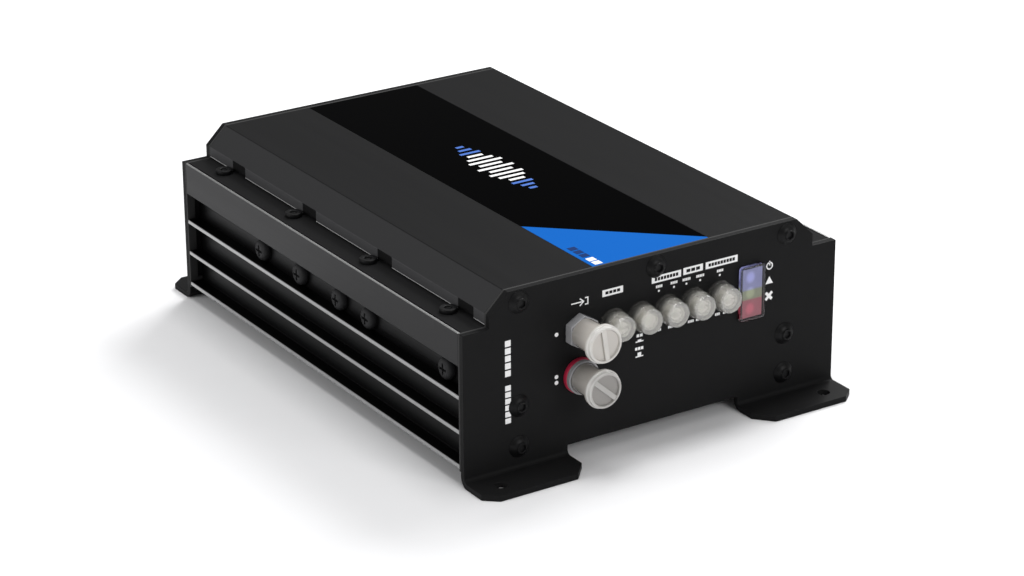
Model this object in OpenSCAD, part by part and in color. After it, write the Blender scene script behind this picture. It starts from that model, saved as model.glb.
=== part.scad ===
// Car amplifier: two finned side extrusions under a hat-section cover, closed by
// two steel end plates whose bent feet carry the mounting holes.
// Frame: origin at the centre of the four foot holes, on the undersides of the feet.
// +X runs along the control panel, the panel faces -Y, +Z is up.

/* [Body] */
// Width over the side extrusions
body_w = 145; // [130:1:200]
// Length over the outer faces of the two end plates
body_l = 185.5; // [175:0.5:320]
// Height of the flat top above the mounting surface
body_h = 62.9; // [60:0.1:70]
// Height of the screw ledge along each side
ledge_z = 52; // [50:0.5:54]
// Clearance under the body
ground_gap = 5; // [4.5:0.1:8]
// Thickness of each end plate
plate_t = 2; // [1.5:0.1:3]
// Thickness of the seal behind each end plate
gasket_t = 0.8; // [0.5:0.1:1.5]

/* [Feet] */
// Width of each foot
foot_w = 39; // [25:1:45]
// Reach of each foot beyond its end plate
foot_l = 14; // [12:0.5:20]
// Distance of the foot holes from the end plate
foot_hole_out = 7.4; // [6:0.1:12]
// Distance between the two holes of one end plate
foot_hole_span = 127; // [110:1:180]
// Diameter of the foot holes
foot_hole_d = 4.2; // [3.5:0.1:5.5]

/* [Side extrusions] */
// Width of the ledge
ledge_w = 9.7; // [8:0.1:12]
// Depth of the channels between the fins
channel_d = 4.6; // [3:0.1:6]
// Height of the plain band above the channels
band_h = 11.3; // [9:0.1:13]
// Height of the lowest fin's centre line
fin_z0 = 6.5; // [6:0.1:8]
// Distance between fins
fin_pitch = 11.8; // [9:0.1:12]
// Thickness of a fin
fin_t = 1.4; // [1:0.1:2]

/* [Controls] */
// Height of the row of controls
control_z = 43.4; // [40:0.1:46]
// Distance between controls
control_pitch = 10.4; // [10.4:0.1:13]
// Place of the first control across the panel
control_x0 = -16.5; // [-18:0.1:-14]
// Place of the two input jacks across the panel
jack_x = -29.4; // [-34:0.1:-29]
// Height of the lower input jack
jack_z = 28.6; // [27:0.1:30]
// Distance between the two input jacks
jack_pitch = 15.4; // [15:0.1:18]
// Travel of the push switch
switch_travel = 2; // [1:0.1:2.5]

/* [Terminals] */
// Distance between terminals
terminal_pitch = 13; // [12:0.5:14]
// Travel of a rising clamp
clamp_travel = 3.8; // [2:0.1:3.8]

/* [Hidden] */
$fn = 64;

// Body section: u is the distance inwards from a side face.
half_w = body_w / 2;
half_l = body_l / 2;
ext_l = body_l - 2 * (plate_t + gasket_t);
riser_z = ledge_z + 4.3;
slope_u = 16.5;
seat_z = ledge_z - 1.8;
seat_t = 3.9;
wall_t = 3.4;
wall_u = channel_d + wall_t;
floor_z = ground_gap + 0.4;
floor_t = 1.5;
corner_u = 15.5;
cover_t = 2;
cover_gap = 1.3;
cover_notch = 0.5;
strip_w = 44.7;
strip_t = 0.5;

// Fixings shared by several pieces: hexagon and cross recesses, clearance of a screw's hole.
key_d = 2.9;
key_depth = 1.4;
hole_gap = 0.1;

// Screws through the end plates: an M4 thread in channels of the extrusions.
thread_r = 2;
channel_wall = 1.3;
panel_screw_x = 52;
top_screw_z = body_h - 4.3;
mid_screw_z = 23.5;
low_screw_z = 9.4;
panel_screws = [[-panel_screw_x, top_screw_z], [0, body_h - 4.1], [panel_screw_x, top_screw_z],
    [-panel_screw_x, mid_screw_z], [panel_screw_x, mid_screw_z],
    [-panel_screw_x, low_screw_z], [panel_screw_x, low_screw_z]];

// Screws down through the ledge: M3 with low heads, each with a scallop of the cover in front.
m3_r = 1.5;
cover_head_r = 2.9;
cover_head_h = 1.6;
cover_screw_u = 6.7;
cover_screw_pitch = 49.2;
cover_screw_y = [for (i = [0:3]) (i - 1.5) * cover_screw_pitch];
cover_screw_l = 5.5;
scallop_ahead = 5.2;
scallop_u = 5.6;
scallop_r = 6.2;

// Screws through the side walls into the clamp bars.
device_y = [-77.3, -29.3, -10.3, 15.7, 41.7];
device_z = 34.7;
device_head_r = 3.8;
device_head_h = 2.6;
device_x = half_w - wall_u;
pad_t = 0.4;
package_t = 4.5;
bar_t = 3;
bar_h = 9;
bar_ends = [device_y[0] - 7, device_y[4] + 14];
transistor_y = [device_y[1] - 20, device_y[1] - 8, device_y[2] - 9.5, device_y[3] - 13,
    device_y[3] + 13, device_y[4] + 8.5];

// Boards.
board_t = 1.6;
board_z = mid_screw_z + 3;
board_top = board_z + board_t;
board_y = [-79, 80];
board_half = half_w - wall_u - 1;
board_screw_y = [-60, 5, 70];
board_screw_r = 1.4;
bottom_screw_u = 14;
bottom_screw_y = 70;
panel_y = -half_l;
inner_y = panel_y + plate_t;
block_y = inner_y + 0.2;
control_board_y = panel_y + 11.9;
control_board_x = [-41, 46];
control_board_top = 55;

// Large parts on the main board: X, Y, radius and height, or X, Y of a ring's centre.
rear_capacitors = [for (x = [-36:18:36]) [x, 58, 8, 26]];
front_capacitors = [for (x = [-12:14:30]) [x, -50, 6.2, 20]];
transformer_at = [-16, 4];
choke_at = [[24, -8], [24, 26]];
transformer_ring = [9, 17, 11];
choke_ring = [6, 11, 9];
transformer_coat = 2;
choke_coat = 1.5;

// Controls, from left to right; the second is the push switch.
bush_r = 3.5;
bush_out = 2.5;
shaft_r = 2;
shaft_out = 5;
button_r = 2.4;
button_back = plate_t + 4;
bore_end = panel_y + button_back + switch_travel + 1.2;
cover_out = 7.3;
fit = 0.03;

// Input jacks.
jack_hole_r = 5;
sleeve_r = 4.9;
washer_r = 5.95;
washer_t = 1.6;
round_nut_r = 5.75;
hex_nut_d = 11.8;
nut_recess_r = 5.05;
nut_recess = 0.9;
barrel_r = 4.15;
barrel_bore = 3.5;
barrel_out = 9.5;
contact_r = 2;
nut_t = 3.3;
cap_start = 2.7;
cap_out = 15.2;
cap_head = cap_out - 2.8;
cap_r = 4.95;
cap_flange_r = 6.5;
cap_face_r = 6.05;
web_w = 1.7;

// Status window.
window_x = 37.65;
window_z = 41.65;
window_w = 9.9;
window_h = 19.1;
window_out = 1.6;
window_rim = 0.9;
led_pitch = 6.4;

// Terminals.
terminal_count = 5;
terminal_y = half_l + 4.75;
block_half = terminal_count * terminal_pitch / 2 + 1.5;
block_out = 10.7;
block_z = board_top;
block_h = 23;
clamp_z = block_z + 2.4;
clamp_h = 12;
clamp_w = 9.2;
clamp_d = 7.6;
clamp_gap = 0.4;
web_z = clamp_z + clamp_h + clamp_travel + clamp_gap;
web_t = 1.2;
screw_tip_z = clamp_z + 9;
bar_z = screw_tip_z - 2.2;

function control_x(i) = control_x0 + i * control_pitch;
function terminal_x(i) = (i - (terminal_count - 1) / 2) * terminal_pitch;

// ---------- shared shapes ----------

// An extrusion along Y, centred, of a shape drawn in the X-Z plane.
module along_y(length) {
    translate([0, length / 2, 0]) rotate([90, 0, 0]) linear_extrude(length) children();
}

// A cylinder along Y from y0 to y1.
module rod_y(x, z, r, y0, y1) {
    translate([x, y1, z]) rotate([90, 0, 0]) cylinder(r = r, h = y1 - y0);
}

// A turned piece whose axis points out of the front panel: x is radius, y is distance out.
module turned(x, z) {
    translate([x, panel_y, z]) rotate([90, 0, 0]) rotate_extrude() children();
}

// A box given by its two corners.
module block(low, high) {
    translate(low) cube(high - low);
}

// The same thing on the left and on the right.
module both_sides() {
    children();
    mirror([1, 0, 0]) children();
}

// Rounded rectangle made of two bars and four discs.
module rounded_rect(w, h, r) {
    square([w - 2 * r, h], center = true);
    square([w, h - 2 * r], center = true);
    for (sx = [-1, 1], sz = [-1, 1])
        translate([sx * (w / 2 - r), sz * (h / 2 - r)]) circle(r);
}

// Outline that the end plates and the body share.
module body_outline() {
    polygon([[-half_w, ground_gap], [-half_w, ledge_z], [ledge_w - half_w, ledge_z],
        [ledge_w - half_w, riser_z], [slope_u - half_w, body_h], [half_w - slope_u, body_h],
        [half_w - ledge_w, riser_z], [half_w - ledge_w, ledge_z], [half_w, ledge_z],
        [half_w, ground_gap]]);
}

// Domed M4 screw along Y with a hexagon socket, its head towards -Y.
module panel_screw(x, z) {
    head_r = 3.8;
    head_h = 2.2;
    dome_r = (head_r * head_r + head_h * head_h) / (2 * head_h);
    shank = 14;
    translate([x, panel_y, z]) rotate([90, 0, 0]) difference() {
        union() {
            rotate_extrude() intersection() {
                translate([0, head_h - dome_r]) circle(dome_r);
                square([head_r, head_h]);
            }
            translate([0, 0, -shank]) cylinder(r = thread_r, h = shank);
        }
        translate([0, 0, head_h - key_depth]) cylinder(d = key_d, h = 2, $fn = 6);
    }
}

// Cross-shaped slot of a screw head, cut from z upwards.
module cross_recess(size, z) {
    for (a = [0, 90]) rotate([0, 0, a]) translate([-size / 2, -size / 10, z]) cube([size, size / 5, 2]);
}

// M3 socket-head screw pointing down, its head resting at z.
module socket_screw(x, y, z, length) {
    translate([x, y, z]) difference() {
        union() {
            cylinder(r = cover_head_r, h = cover_head_h);
            translate([0, 0, -length]) cylinder(r = m3_r, h = length);
        }
        translate([0, 0, cover_head_h - key_depth]) cylinder(d = key_d, h = 2, $fn = 6);
    }
}

// ---------- end plates ----------

// Section of a foot: the plate turned forwards on a rounded bend.
module foot_section() {
    outer_r = plate_t + 1.5;
    translate([-foot_l, 0]) square([foot_l + plate_t - outer_r, plate_t]);
    translate([0, outer_r]) square([plate_t, ground_gap + 2 - outer_r]);
    intersection() {
        translate([plate_t - outer_r, outer_r]) difference() {
            circle(outer_r);
            circle(outer_r - plate_t);
        }
        translate([plate_t - outer_r, 0]) square([outer_r, outer_r]);
    }
}

// One foot of the front plate, with cut corners and its hole; outer edge at +X.
module foot() {
    difference() {
        translate([half_w - foot_w, 0, 0]) rotate([90, 0, 90]) linear_extrude(foot_w)
            translate([panel_y, 0]) foot_section();
        translate([0, panel_y, -1]) linear_extrude(plate_t + 2) {
            polygon([[half_w - 4.5, -foot_l], [half_w, 3.9 - foot_l],
                [half_w + 1, -foot_l - 1], [half_w - 4.5, -foot_l - 1]]);
            polygon([[half_w - foot_w + 5.4, -foot_l], [half_w - foot_w, 6 - foot_l],
                [half_w - foot_w - 1, -foot_l - 1], [half_w - foot_w + 5.4, -foot_l - 1]]);
        }
        translate([foot_hole_span / 2, panel_y - foot_hole_out, -1])
            cylinder(d = foot_hole_d, h = plate_t + 2);
    }
}

// Plate with feet and screw holes, as it stands at the front.
module end_plate() {
    difference() {
        union() {
            translate([0, (plate_t - body_l) / 2, 0]) along_y(plate_t) body_outline();
            both_sides() foot();
        }
        for (s = panel_screws) rod_y(s[0], s[1], thread_r + hole_gap, panel_y - 1, inner_y + 1);
    }
}

module front_plate() {
    color("#262628") difference() {
        end_plate();
        for (i = [0:4]) rod_y(control_x(i), control_z, bush_r + 0.1, panel_y - 1, inner_y + 1);
        for (k = [0, 1]) rod_y(jack_x, jack_z + k * jack_pitch, jack_hole_r, panel_y - 1, inner_y + 1);
        translate([window_x, 0, window_z]) translate([0, panel_y, 0]) along_y(3 * plate_t)
            rounded_rect(window_w - 1.6, window_h - 1.6, 0.8);
    }
}

module rear_plate() {
    color("#262628") difference() {
        rotate([0, 0, 180]) end_plate();
        block([-block_half - 0.2, half_l - plate_t - 1, block_z - 0.2],
            [block_half + 0.2, half_l + 1, block_z + block_h + 0.2]);
    }
}

// Flat seal that follows the body's outline.
module gasket() {
    border = 3;
    difference() {
        translate([0, (gasket_t - body_l) / 2 + plate_t, 0]) along_y(gasket_t) difference() {
            body_outline();
            polygon([[border - half_w, floor_z + border], [border - half_w, seat_z - border],
                [corner_u - half_w, seat_z - border], [corner_u - half_w, riser_z],
                [slope_u + border - half_w, body_h - border],
                [half_w - slope_u - border, body_h - border], [half_w - corner_u, riser_z],
                [half_w - corner_u, seat_z - border], [half_w - border, seat_z - border],
                [half_w - border, floor_z + border]]);
        }
        for (s = panel_screws) rod_y(s[0], s[1], thread_r + hole_gap, panel_y, inner_y + 2);
    }
}

module front_gasket() {
    color("#1a1a1a") gasket();
}

module rear_gasket() {
    color("#1a1a1a") rotate([0, 0, 180]) gasket();
}

// ---------- extrusions ----------

// Section of the right-hand extrusion, drawn with its outer face at +X.
module heatsink_section() {
    lip_t = 0.9;
    band_t = 2.2;
    translate([half_w - band_t, ledge_z - band_h]) square([band_t, seat_z - ledge_z + band_h]);
    translate([half_w - lip_t, seat_z - 1]) square([lip_t, ledge_z - seat_z + 1]);
    translate([half_w - corner_u, seat_z - seat_t]) square([corner_u, seat_t]);
    translate([half_w - wall_u, floor_z]) square([wall_t, seat_z - floor_z]);
    for (i = [0:2])
        translate([half_w - wall_u, fin_z0 + i * fin_pitch - fin_t / 2]) square([wall_u, fin_t]);
    flange_w = 18;
    translate([half_w - wall_u - flange_w, floor_z + floor_t]) square([flange_w + 1, 2.4]);
    block_w = 2 * (thread_r + channel_wall);
    boss_z = board_z - 6.2;
    translate([panel_screw_x - block_w / 2, floor_z + floor_t])
        square([block_w, low_screw_z + thread_r + channel_wall - floor_z - floor_t]);
    translate([panel_screw_x - block_w / 2, boss_z]) square([block_w, board_z - boss_z]);
    translate([panel_screw_x, boss_z]) square([half_w - wall_u - panel_screw_x + 1, 2.5]);
}

module heatsink() {
    difference() {
        along_y(ext_l) heatsink_section();
        for (z = [mid_screw_z, low_screw_z])
            rod_y(panel_screw_x, z, thread_r, -half_l, half_l);
        for (y = cover_screw_y)
            translate([half_w - cover_screw_u, y, ledge_z - cover_screw_l])
                cylinder(r = m3_r, h = cover_screw_l + 1);
        for (y = device_y) translate([device_x - 1, y, device_z]) rotate([0, 90, 0])
            cylinder(r = m3_r, h = wall_t + 2);
        for (y = board_screw_y)
            translate([panel_screw_x, y, mid_screw_z]) cylinder(r = board_screw_r, h = 8);
        for (y = [-1, 1])
            translate([half_w - bottom_screw_u, y * bottom_screw_y, floor_z]) cylinder(r = m3_r, h = 8);
    }
}

module heatsink_right() {
    color("#3a3a3d") heatsink();
}

module heatsink_left() {
    color("#3a3a3d") mirror([1, 0, 0]) heatsink();
}

module top_cover() {
    inner_u = corner_u + 3.6;
    color("#2c2c2f") difference() {
        along_y(ext_l) difference() {
            intersection() {
                body_outline();
                translate([cover_gap - half_w, seat_z]) square([body_w - 2 * cover_gap, body_h]);
            }
            difference() {
                polygon([[corner_u - half_w, seat_z - 1], [corner_u - half_w, riser_z + 1],
                    [inner_u - half_w, body_h - cover_t], [half_w - inner_u, body_h - cover_t],
                    [half_w - corner_u, riser_z + 1],
                    [half_w - corner_u, seat_z - 1]]);
                for (i = [0:2])
                    translate([panel_screws[i][0], panel_screws[i][1]])
                        circle(thread_r + channel_wall);
            }
            for (i = [0:2]) translate([panel_screws[i][0], panel_screws[i][1]]) circle(thread_r);
            for (s = [-1, 1])
                translate([s * (half_w - ledge_w - cover_notch / 2), ledge_z + cover_notch / 2])
                    square(cover_notch, center = true);
            translate([-strip_w / 2, body_h - strip_t]) square([strip_w, 1]);
        }
        both_sides() for (y = cover_screw_y) {
            translate([half_w - scallop_u, y - scallop_ahead, ledge_z])
                cylinder(r = scallop_r, h = riser_z - ledge_z);
            translate([half_w - cover_screw_u, y, ledge_z - 3]) cylinder(r = m3_r + hole_gap, h = 4);
        }
    }
}

module top_strip() {
    color("#050506") block([-strip_w / 2, -ext_l / 2, body_h - strip_t],
        [strip_w / 2, ext_l / 2, body_h]);
}

module bottom_plate() {
    half = half_w - wall_u - 0.2;
    color("#303032") difference() {
        block([-half, -ext_l / 2, floor_z], [half, ext_l / 2, floor_z + floor_t]);
        both_sides() for (s = [-1, 1]) translate([half_w - bottom_screw_u, s * bottom_screw_y, floor_z]) {
            translate([0, 0, -1]) cylinder(r = m3_r + hole_gap, h = 4);
            translate([0, 0, -1]) cylinder(r = 3, h = 2.2);
        }
    }
}

// ---------- fasteners ----------

module front_panel_screws() {
    color("#111112") for (s = panel_screws) panel_screw(s[0], s[1]);
}

module rear_panel_screws() {
    color("#111112") rotate([0, 0, 180]) for (s = panel_screws) panel_screw(s[0], s[1]);
}

module cover_screws() {
    color("#1b1b1d") both_sides() for (y = cover_screw_y)
        socket_screw(half_w - cover_screw_u, y, ledge_z, cover_screw_l);
}

// Countersunk in the bottom plate, their heads flush with its underside.
module bottom_screws() {
    color("#1b1b1d") both_sides() for (s = [-1, 1])
        translate([half_w - bottom_screw_u, s * bottom_screw_y, floor_z]) difference() {
            union() {
                cylinder(r = 2.8, h = 1.2);
                cylinder(r = m3_r, h = 5);
            }
            translate([0, 0, -0.1]) cylinder(d = 2.3, h = 0.8, $fn = 6);
        }
}

// Pan heads in the upper channel, pulling the clamp bars against the transistors.
module device_screws() {
    dome_r = 5.2;
    length = wall_t + pad_t + package_t + bar_t;
    color("#6a6a6e") both_sides() for (y = device_y)
        translate([half_w - channel_d, y, device_z]) rotate([0, 90, 0]) difference() {
            union() {
                rotate_extrude() intersection() {
                    translate([0, device_head_h - dome_r]) circle(dome_r);
                    square([device_head_r, device_head_h]);
                }
                translate([0, 0, -length]) cylinder(r = m3_r, h = length);
            }
            cross_recess(4, device_head_h - 1);
        }
}

module board_screws() {
    color("#b9b9bc") both_sides() for (y = board_screw_y)
        translate([panel_screw_x, y, board_top]) difference() {
            union() {
                cylinder(r = 2.7, h = 1.8);
                translate([0, 0, mid_screw_z - board_top])
                    cylinder(r = board_screw_r, h = board_top - mid_screw_z);
            }
            cross_recess(3.2, 1);
        }
}

// ---------- electronics ----------

module main_board() {
    color("#1f5a34") difference() {
        block([-board_half, board_y[0], board_z], [board_half, board_y[1], board_top]);
        both_sides() for (y = board_screw_y)
            translate([panel_screw_x, y, board_z - 1]) cylinder(r = board_screw_r, h = 4);
        block([jack_x - 9, board_y[0] - 1, board_z - 1], [jack_x + 9, board_y[0] + 1.2, board_top + 1]);
    }
}

module control_board() {
    color("#1f5a34") block([control_board_x[0], control_board_y, board_top],
        [control_board_x[1], control_board_y + board_t, control_board_top]);
}

module board_link() {
    color("#18181a") block([-14, control_board_y + board_t, board_top],
        [14, control_board_y + board_t + 4, board_top + 6]);
}

module clamp_bars() {
    x1 = device_x - pad_t - package_t;
    color("#8a8c90") both_sides() difference() {
        block([x1 - bar_t, bar_ends[0], device_z - bar_h / 2], [x1, bar_ends[1], device_z + bar_h / 2]);
        for (y = device_y) translate([x1 - bar_t - 1, y, device_z]) rotate([0, 90, 0])
            cylinder(r = m3_r, h = bar_t + 2);
    }
}

module thermal_pads() {
    color("#d8d6cf") both_sides() difference() {
        block([device_x - pad_t, bar_ends[0], board_top + 1], [device_x, bar_ends[1], device_z + 11]);
        for (y = device_y) translate([device_x - 1, y, device_z]) rotate([0, 90, 0])
            cylinder(r = m3_r, h = 2);
    }
}

// TO-220 packages between the clamp screws: moulding, tab and three leads.
module power_transistors() {
    x0 = device_x - pad_t;
    color("#222224") both_sides() for (y = transistor_y) {
        difference() {
            union() {
                block([x0 - package_t, y - 5, board_top + 2.6], [x0, y + 5, board_top + 11.8]);
                block([x0 - 1.3, y - 5, board_top + 11], [x0, y + 5, board_top + 16.5]);
            }
            translate([x0 - 2, y, board_top + 14]) rotate([0, 90, 0]) cylinder(r = 1.8, h = 4);
        }
        for (k = [-1, 0, 1])
            block([x0 - 2.7, y + 2.54 * k - 0.4, board_top], [x0 - 2.1, y + 2.54 * k + 0.4, board_top + 3]);
    }
}

// A ferrite ring lying flat over the board: ring is inner radius, outer radius and height.
module ring_core(at, ring, coat) {
    translate([at[0], at[1], board_top + coat]) rotate_extrude()
        translate([ring[0], 0]) square([ring[1] - ring[0], ring[2]]);
}

// Copper wound all round a ring core, as one closed coat.
module ring_winding(at, ring, coat) {
    width = ring[1] - ring[0];
    translate([at[0], at[1], board_top + coat]) rotate_extrude() difference() {
        translate([ring[0] + width / 2, ring[2] / 2])
            rounded_rect(width + 2 * coat, ring[2] + 2 * coat, coat);
        translate([ring[0], 0]) square([width, ring[2]]);
    }
}

module transformer_core() {
    color("#39393b") ring_core(transformer_at, transformer_ring, transformer_coat);
}

module transformer_winding() {
    color("#b5673a") ring_winding(transformer_at, transformer_ring, transformer_coat);
}

module choke_cores() {
    color("#c9b13c") for (at = choke_at) ring_core(at, choke_ring, choke_coat);
}

module choke_windings() {
    color("#b5673a") for (at = choke_at) ring_winding(at, choke_ring, choke_coat);
}

module supply_capacitors() {
    color("#20242c") for (can = concat(rear_capacitors, front_capacitors))
        translate([can[0], can[1], board_top]) cylinder(r = can[2], h = can[3]);
}

// ---------- input jacks ----------

module input_jack_block() {
    low = jack_z - 7.3;
    high = jack_z + jack_pitch + 8;
    color("#1d1d1f") difference() {
        union() {
            difference() {
                block([jack_x - 7.4, block_y, low], [jack_x + 7.4, control_board_y, high]);
                for (k = [0, 1])
                    rod_y(jack_x, jack_z + k * jack_pitch, barrel_r, block_y - 1, block_y + 6.5);
            }
            for (k = [0, 1])
                rod_y(jack_x, jack_z + k * jack_pitch, barrel_bore, panel_y - 0.5, block_y + 7);
        }
        for (k = [0, 1])
            rod_y(jack_x, jack_z + k * jack_pitch, contact_r, panel_y - 1, block_y + 8.5);
    }
}

// Sleeve that lines a jack's hole in the panel, under its nut or washer.
module jack_sleeve(z) {
    rod_y(jack_x, z, sleeve_r, panel_y, block_y);
}

// Recess in a nut's face that the end of a dust cap sits in.
module nut_recess(z) {
    rod_y(jack_x, z, nut_recess_r, panel_y - nut_t - 1, panel_y - nut_t + nut_recess);
}

module jack_nut_left() {
    z = jack_z + jack_pitch;
    color("#c9cacb") difference() {
        union() {
            translate([jack_x, panel_y, z]) rotate([90, 0, 0]) rotate([0, 0, 90])
                cylinder(d = hex_nut_d, h = nut_t, $fn = 6);
            jack_sleeve(z);
        }
        rod_y(jack_x, z, barrel_r, panel_y - 5, inner_y + 2);
        nut_recess(z);
    }
}

module jack_washer_right() {
    color("#b32036") difference() {
        union() {
            rod_y(jack_x, jack_z, washer_r, panel_y - washer_t, panel_y);
            jack_sleeve(jack_z);
        }
        rod_y(jack_x, jack_z, barrel_r, panel_y - 5, inner_y + 2);
    }
}

module jack_nut_right() {
    color("#a9aaab") difference() {
        rod_y(jack_x, jack_z, round_nut_r, panel_y - nut_t, panel_y - washer_t);
        rod_y(jack_x, jack_z, barrel_r, panel_y - 5, panel_y);
        nut_recess(jack_z);
    }
}

module jack_barrels() {
    color("#d0d2d4") for (k = [0, 1]) difference() {
        rod_y(jack_x, jack_z + k * jack_pitch, barrel_r, panel_y - barrel_out, block_y + 6.5);
        rod_y(jack_x, jack_z + k * jack_pitch, barrel_bore, panel_y - 20, block_y + 8);
    }
}

module jack_contacts() {
    color("#caa64a") for (k = [0, 1]) difference() {
        rod_y(jack_x, jack_z + k * jack_pitch, contact_r, panel_y - barrel_out + 0.8, block_y + 8.5);
        rod_y(jack_x, jack_z + k * jack_pitch, 1.6, panel_y - 20, block_y + 6);
    }
}

// Soft dust cap: barrel, flange, and a hollowed grip face crossed by one web.
module jack_cap(z, web_angle) {
    bore = barrel_r + fit;
    bore_top = barrel_out + 0.6;
    difference() {
        turned(jack_x, z) polygon([[bore, cap_start], [cap_r, cap_start], [cap_r, cap_head - 0.7],
            [5.5, cap_head - 0.5], [5.5, cap_head], [cap_flange_r, cap_head + 0.2],
            [cap_flange_r, cap_head + 1.3], [cap_face_r + 0.2, cap_head + 1.5], [cap_face_r, cap_head + 1.5],
            [cap_face_r, cap_out - 0.3], [cap_face_r - 0.3, cap_out], [0, cap_out],
            [0, bore_top], [bore, bore_top]]);
        translate([jack_x, panel_y - cap_out, z]) rotate([0, -web_angle, 0]) difference() {
            rod_y(0, 0, cap_face_r - 0.85, -1, 0.9);
            block([-7, -2, -web_w / 2], [7, 3, web_w / 2]);
        }
    }
}

module jack_cap_left() {
    color("#c8c4bd") jack_cap(jack_z + jack_pitch, 99);
}

module jack_cap_right() {
    color("#c8c4bd") jack_cap(jack_z, -42);
}

// ---------- controls ----------

// Moulded body behind the panel with a bush that reaches through it.
module control_body(i, bore_r) {
    x = control_x(i);
    difference() {
        union() {
            block([x - 4.7, block_y, control_z - 5.5], [x + 4.7, control_board_y, control_z + 5.5]);
            rod_y(x, control_z, bush_r, panel_y - bush_out, block_y + 1);
        }
        rod_y(x, control_z, bore_r, panel_y - bush_out - 1, bore_end);
    }
}

module potentiometers() {
    color("#2a2a2c") for (i = [0, 2, 3, 4]) control_body(i, shaft_r + 0.05);
}

module switch_body() {
    color("#2a2a2c") control_body(1, button_r + 0.06);
}

// Pot shaft with a screwdriver slot in its end.
module control_shaft(i) {
    x = control_x(i);
    color("#dadada") difference() {
        rod_y(x, control_z, shaft_r, panel_y - shaft_out, bore_end - 0.5);
        block([x - 3, panel_y - shaft_out - 1, control_z - 0.4],
            [x + 3, panel_y - shaft_out + 1.2, control_z + 0.4]);
    }
}

module gain_shaft() control_shaft(0);
module subsonic_shaft() control_shaft(2);
module lowpass_shaft() control_shaft(3);
module bass_shaft() control_shaft(4);

module switch_button() {
    x = control_x(1);
    color("#dadada") turned(x, control_z) polygon([[0, -button_back], [button_r, -button_back],
        [button_r, shaft_out - 0.4], [button_r - 0.4, shaft_out], [0, shaft_out]]);
}

// Soft cover over one control: flange, stepped barrel and rounded front, hollow inside.
module control_cover(i) {
    front = cover_out;
    color("#c8c4bd") turned(control_x(i), control_z) polygon([[bush_r + fit, 0.05], [5, 0.05],
        [5, 0.9], [4.7, 1.1], [4.6, 3.6], [4.4, 3.8], [4.3, front - 1.2], [4.1, front - 0.5],
        [3.6, front - 0.1], [3.1, front], [0, front], [0, shaft_out + 0.6],
        [button_r + 0.5, shaft_out + 0.6], [button_r + 0.5, bush_out + 0.4],
        [bush_r + fit, bush_out + 0.4]]);
}

module gain_cover() control_cover(0);
module switch_cover() control_cover(1);
module subsonic_cover() control_cover(2);
module lowpass_cover() control_cover(3);
module bass_cover() control_cover(4);

// ---------- status window ----------

// Clear window: a proud rim round a slightly sunk face, with a skirt through the panel.
module status_window() {
    skirt = 5;
    color("#aab0ff", 0.6) translate([window_x, panel_y, window_z]) difference() {
        union() {
            translate([0, -window_out / 2, 0]) along_y(window_out)
                rounded_rect(window_w, window_h, 1.3);
            translate([0, skirt / 2, 0]) along_y(skirt)
                rounded_rect(window_w - 1.8, window_h - 1.8, 0.7);
        }
        translate([0, -window_out, 0]) along_y(0.6)
            rounded_rect(window_w - 2 * window_rim, window_h - 2 * window_rim, 0.8);
        translate([0, skirt / 2 + 1, 0]) along_y(skirt + 0.2)
            rounded_rect(window_w - 3.8, window_h - 3.8, 0.5);
    }
}

module status_leds() {
    color("#e8e8ff") for (k = [-1, 0, 1]) {
        rod_y(window_x, window_z + k * led_pitch, 1.5, panel_y + 6.4, control_board_y);
        rod_y(window_x, window_z + k * led_pitch, 1.9, panel_y + 10.6, control_board_y);
    }
}

// ---------- terminals ----------

module terminal_block() {
    out_y = half_l + block_out;
    inner = half_l - plate_t;
    color("#1c1c1e") difference() {
        union() {
            block([-block_half, inner - 0.5, block_z], [block_half, out_y, block_z + block_h]);
            block([-block_half - 3, inner - 2.5, block_z], [block_half + 3, inner, block_z + block_h + 3]);
        }
        for (i = [0:terminal_count - 1]) translate([terminal_x(i), terminal_y, 0]) {
            half_d = clamp_d / 2 + clamp_gap;
            block([-clamp_w / 2 - clamp_gap, -half_d, clamp_z - clamp_gap],
                [clamp_w / 2 + clamp_gap, half_d, web_z]);
            translate([0, 0, web_z - 1]) cylinder(r = thread_r + 0.55, h = 20);
            translate([0, 0, web_z + web_t]) cylinder(r = 4.2, h = 20);
            block([-3.4, 0, clamp_z + 2], [3.4, 20, bar_z]);
            block([-3, -20, bar_z], [3, 0, bar_z + 1.8]);
        }
    }
}

// Fixed bars that the wires are pulled up against, with a leg down to the board.
module terminal_bars() {
    leg_y = half_l - plate_t - 6.5;
    end_y = terminal_y + clamp_d / 2;
    color("#c98a4e") for (i = [0:terminal_count - 1]) translate([terminal_x(i), 0, 0]) {
        block([-3, leg_y, bar_z], [3, end_y, bar_z + 1.8]);
        block([-3, leg_y - 1.8, board_z], [3, leg_y, bar_z + 1.8]);
    }
}

module terminal_screw(n) {
    x = terminal_x(n - 1);
    head_z = web_z + web_t + 0.05;
    color("#d4d5d6") translate([x, terminal_y, 0]) difference() {
        union() {
            translate([0, 0, screw_tip_z]) cylinder(r = 2.48, h = head_z - screw_tip_z + 1);
            translate([0, 0, head_z]) cylinder(r = 3.8, h = 2.6);
        }
        translate([-5, -0.6, head_z + 1.2]) cube([10, 1.2, 2]);
    }
}

// Cage that rises on its screw and pulls the wire up against the bar.
module wire_clamp(n) {
    color("#c9a24a") translate([terminal_x(n - 1), terminal_y, clamp_z]) difference() {
        block([-clamp_w / 2, -clamp_d / 2, 0], [clamp_w / 2, clamp_d / 2, clamp_h]);
        block([-clamp_w / 2 + 1.2, -clamp_d, 2], [clamp_w / 2 - 1.2, clamp_d, clamp_h - 2]);
        translate([0, 0, clamp_h - 3]) cylinder(r = 2.55, h = 4);
    }
}

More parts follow.
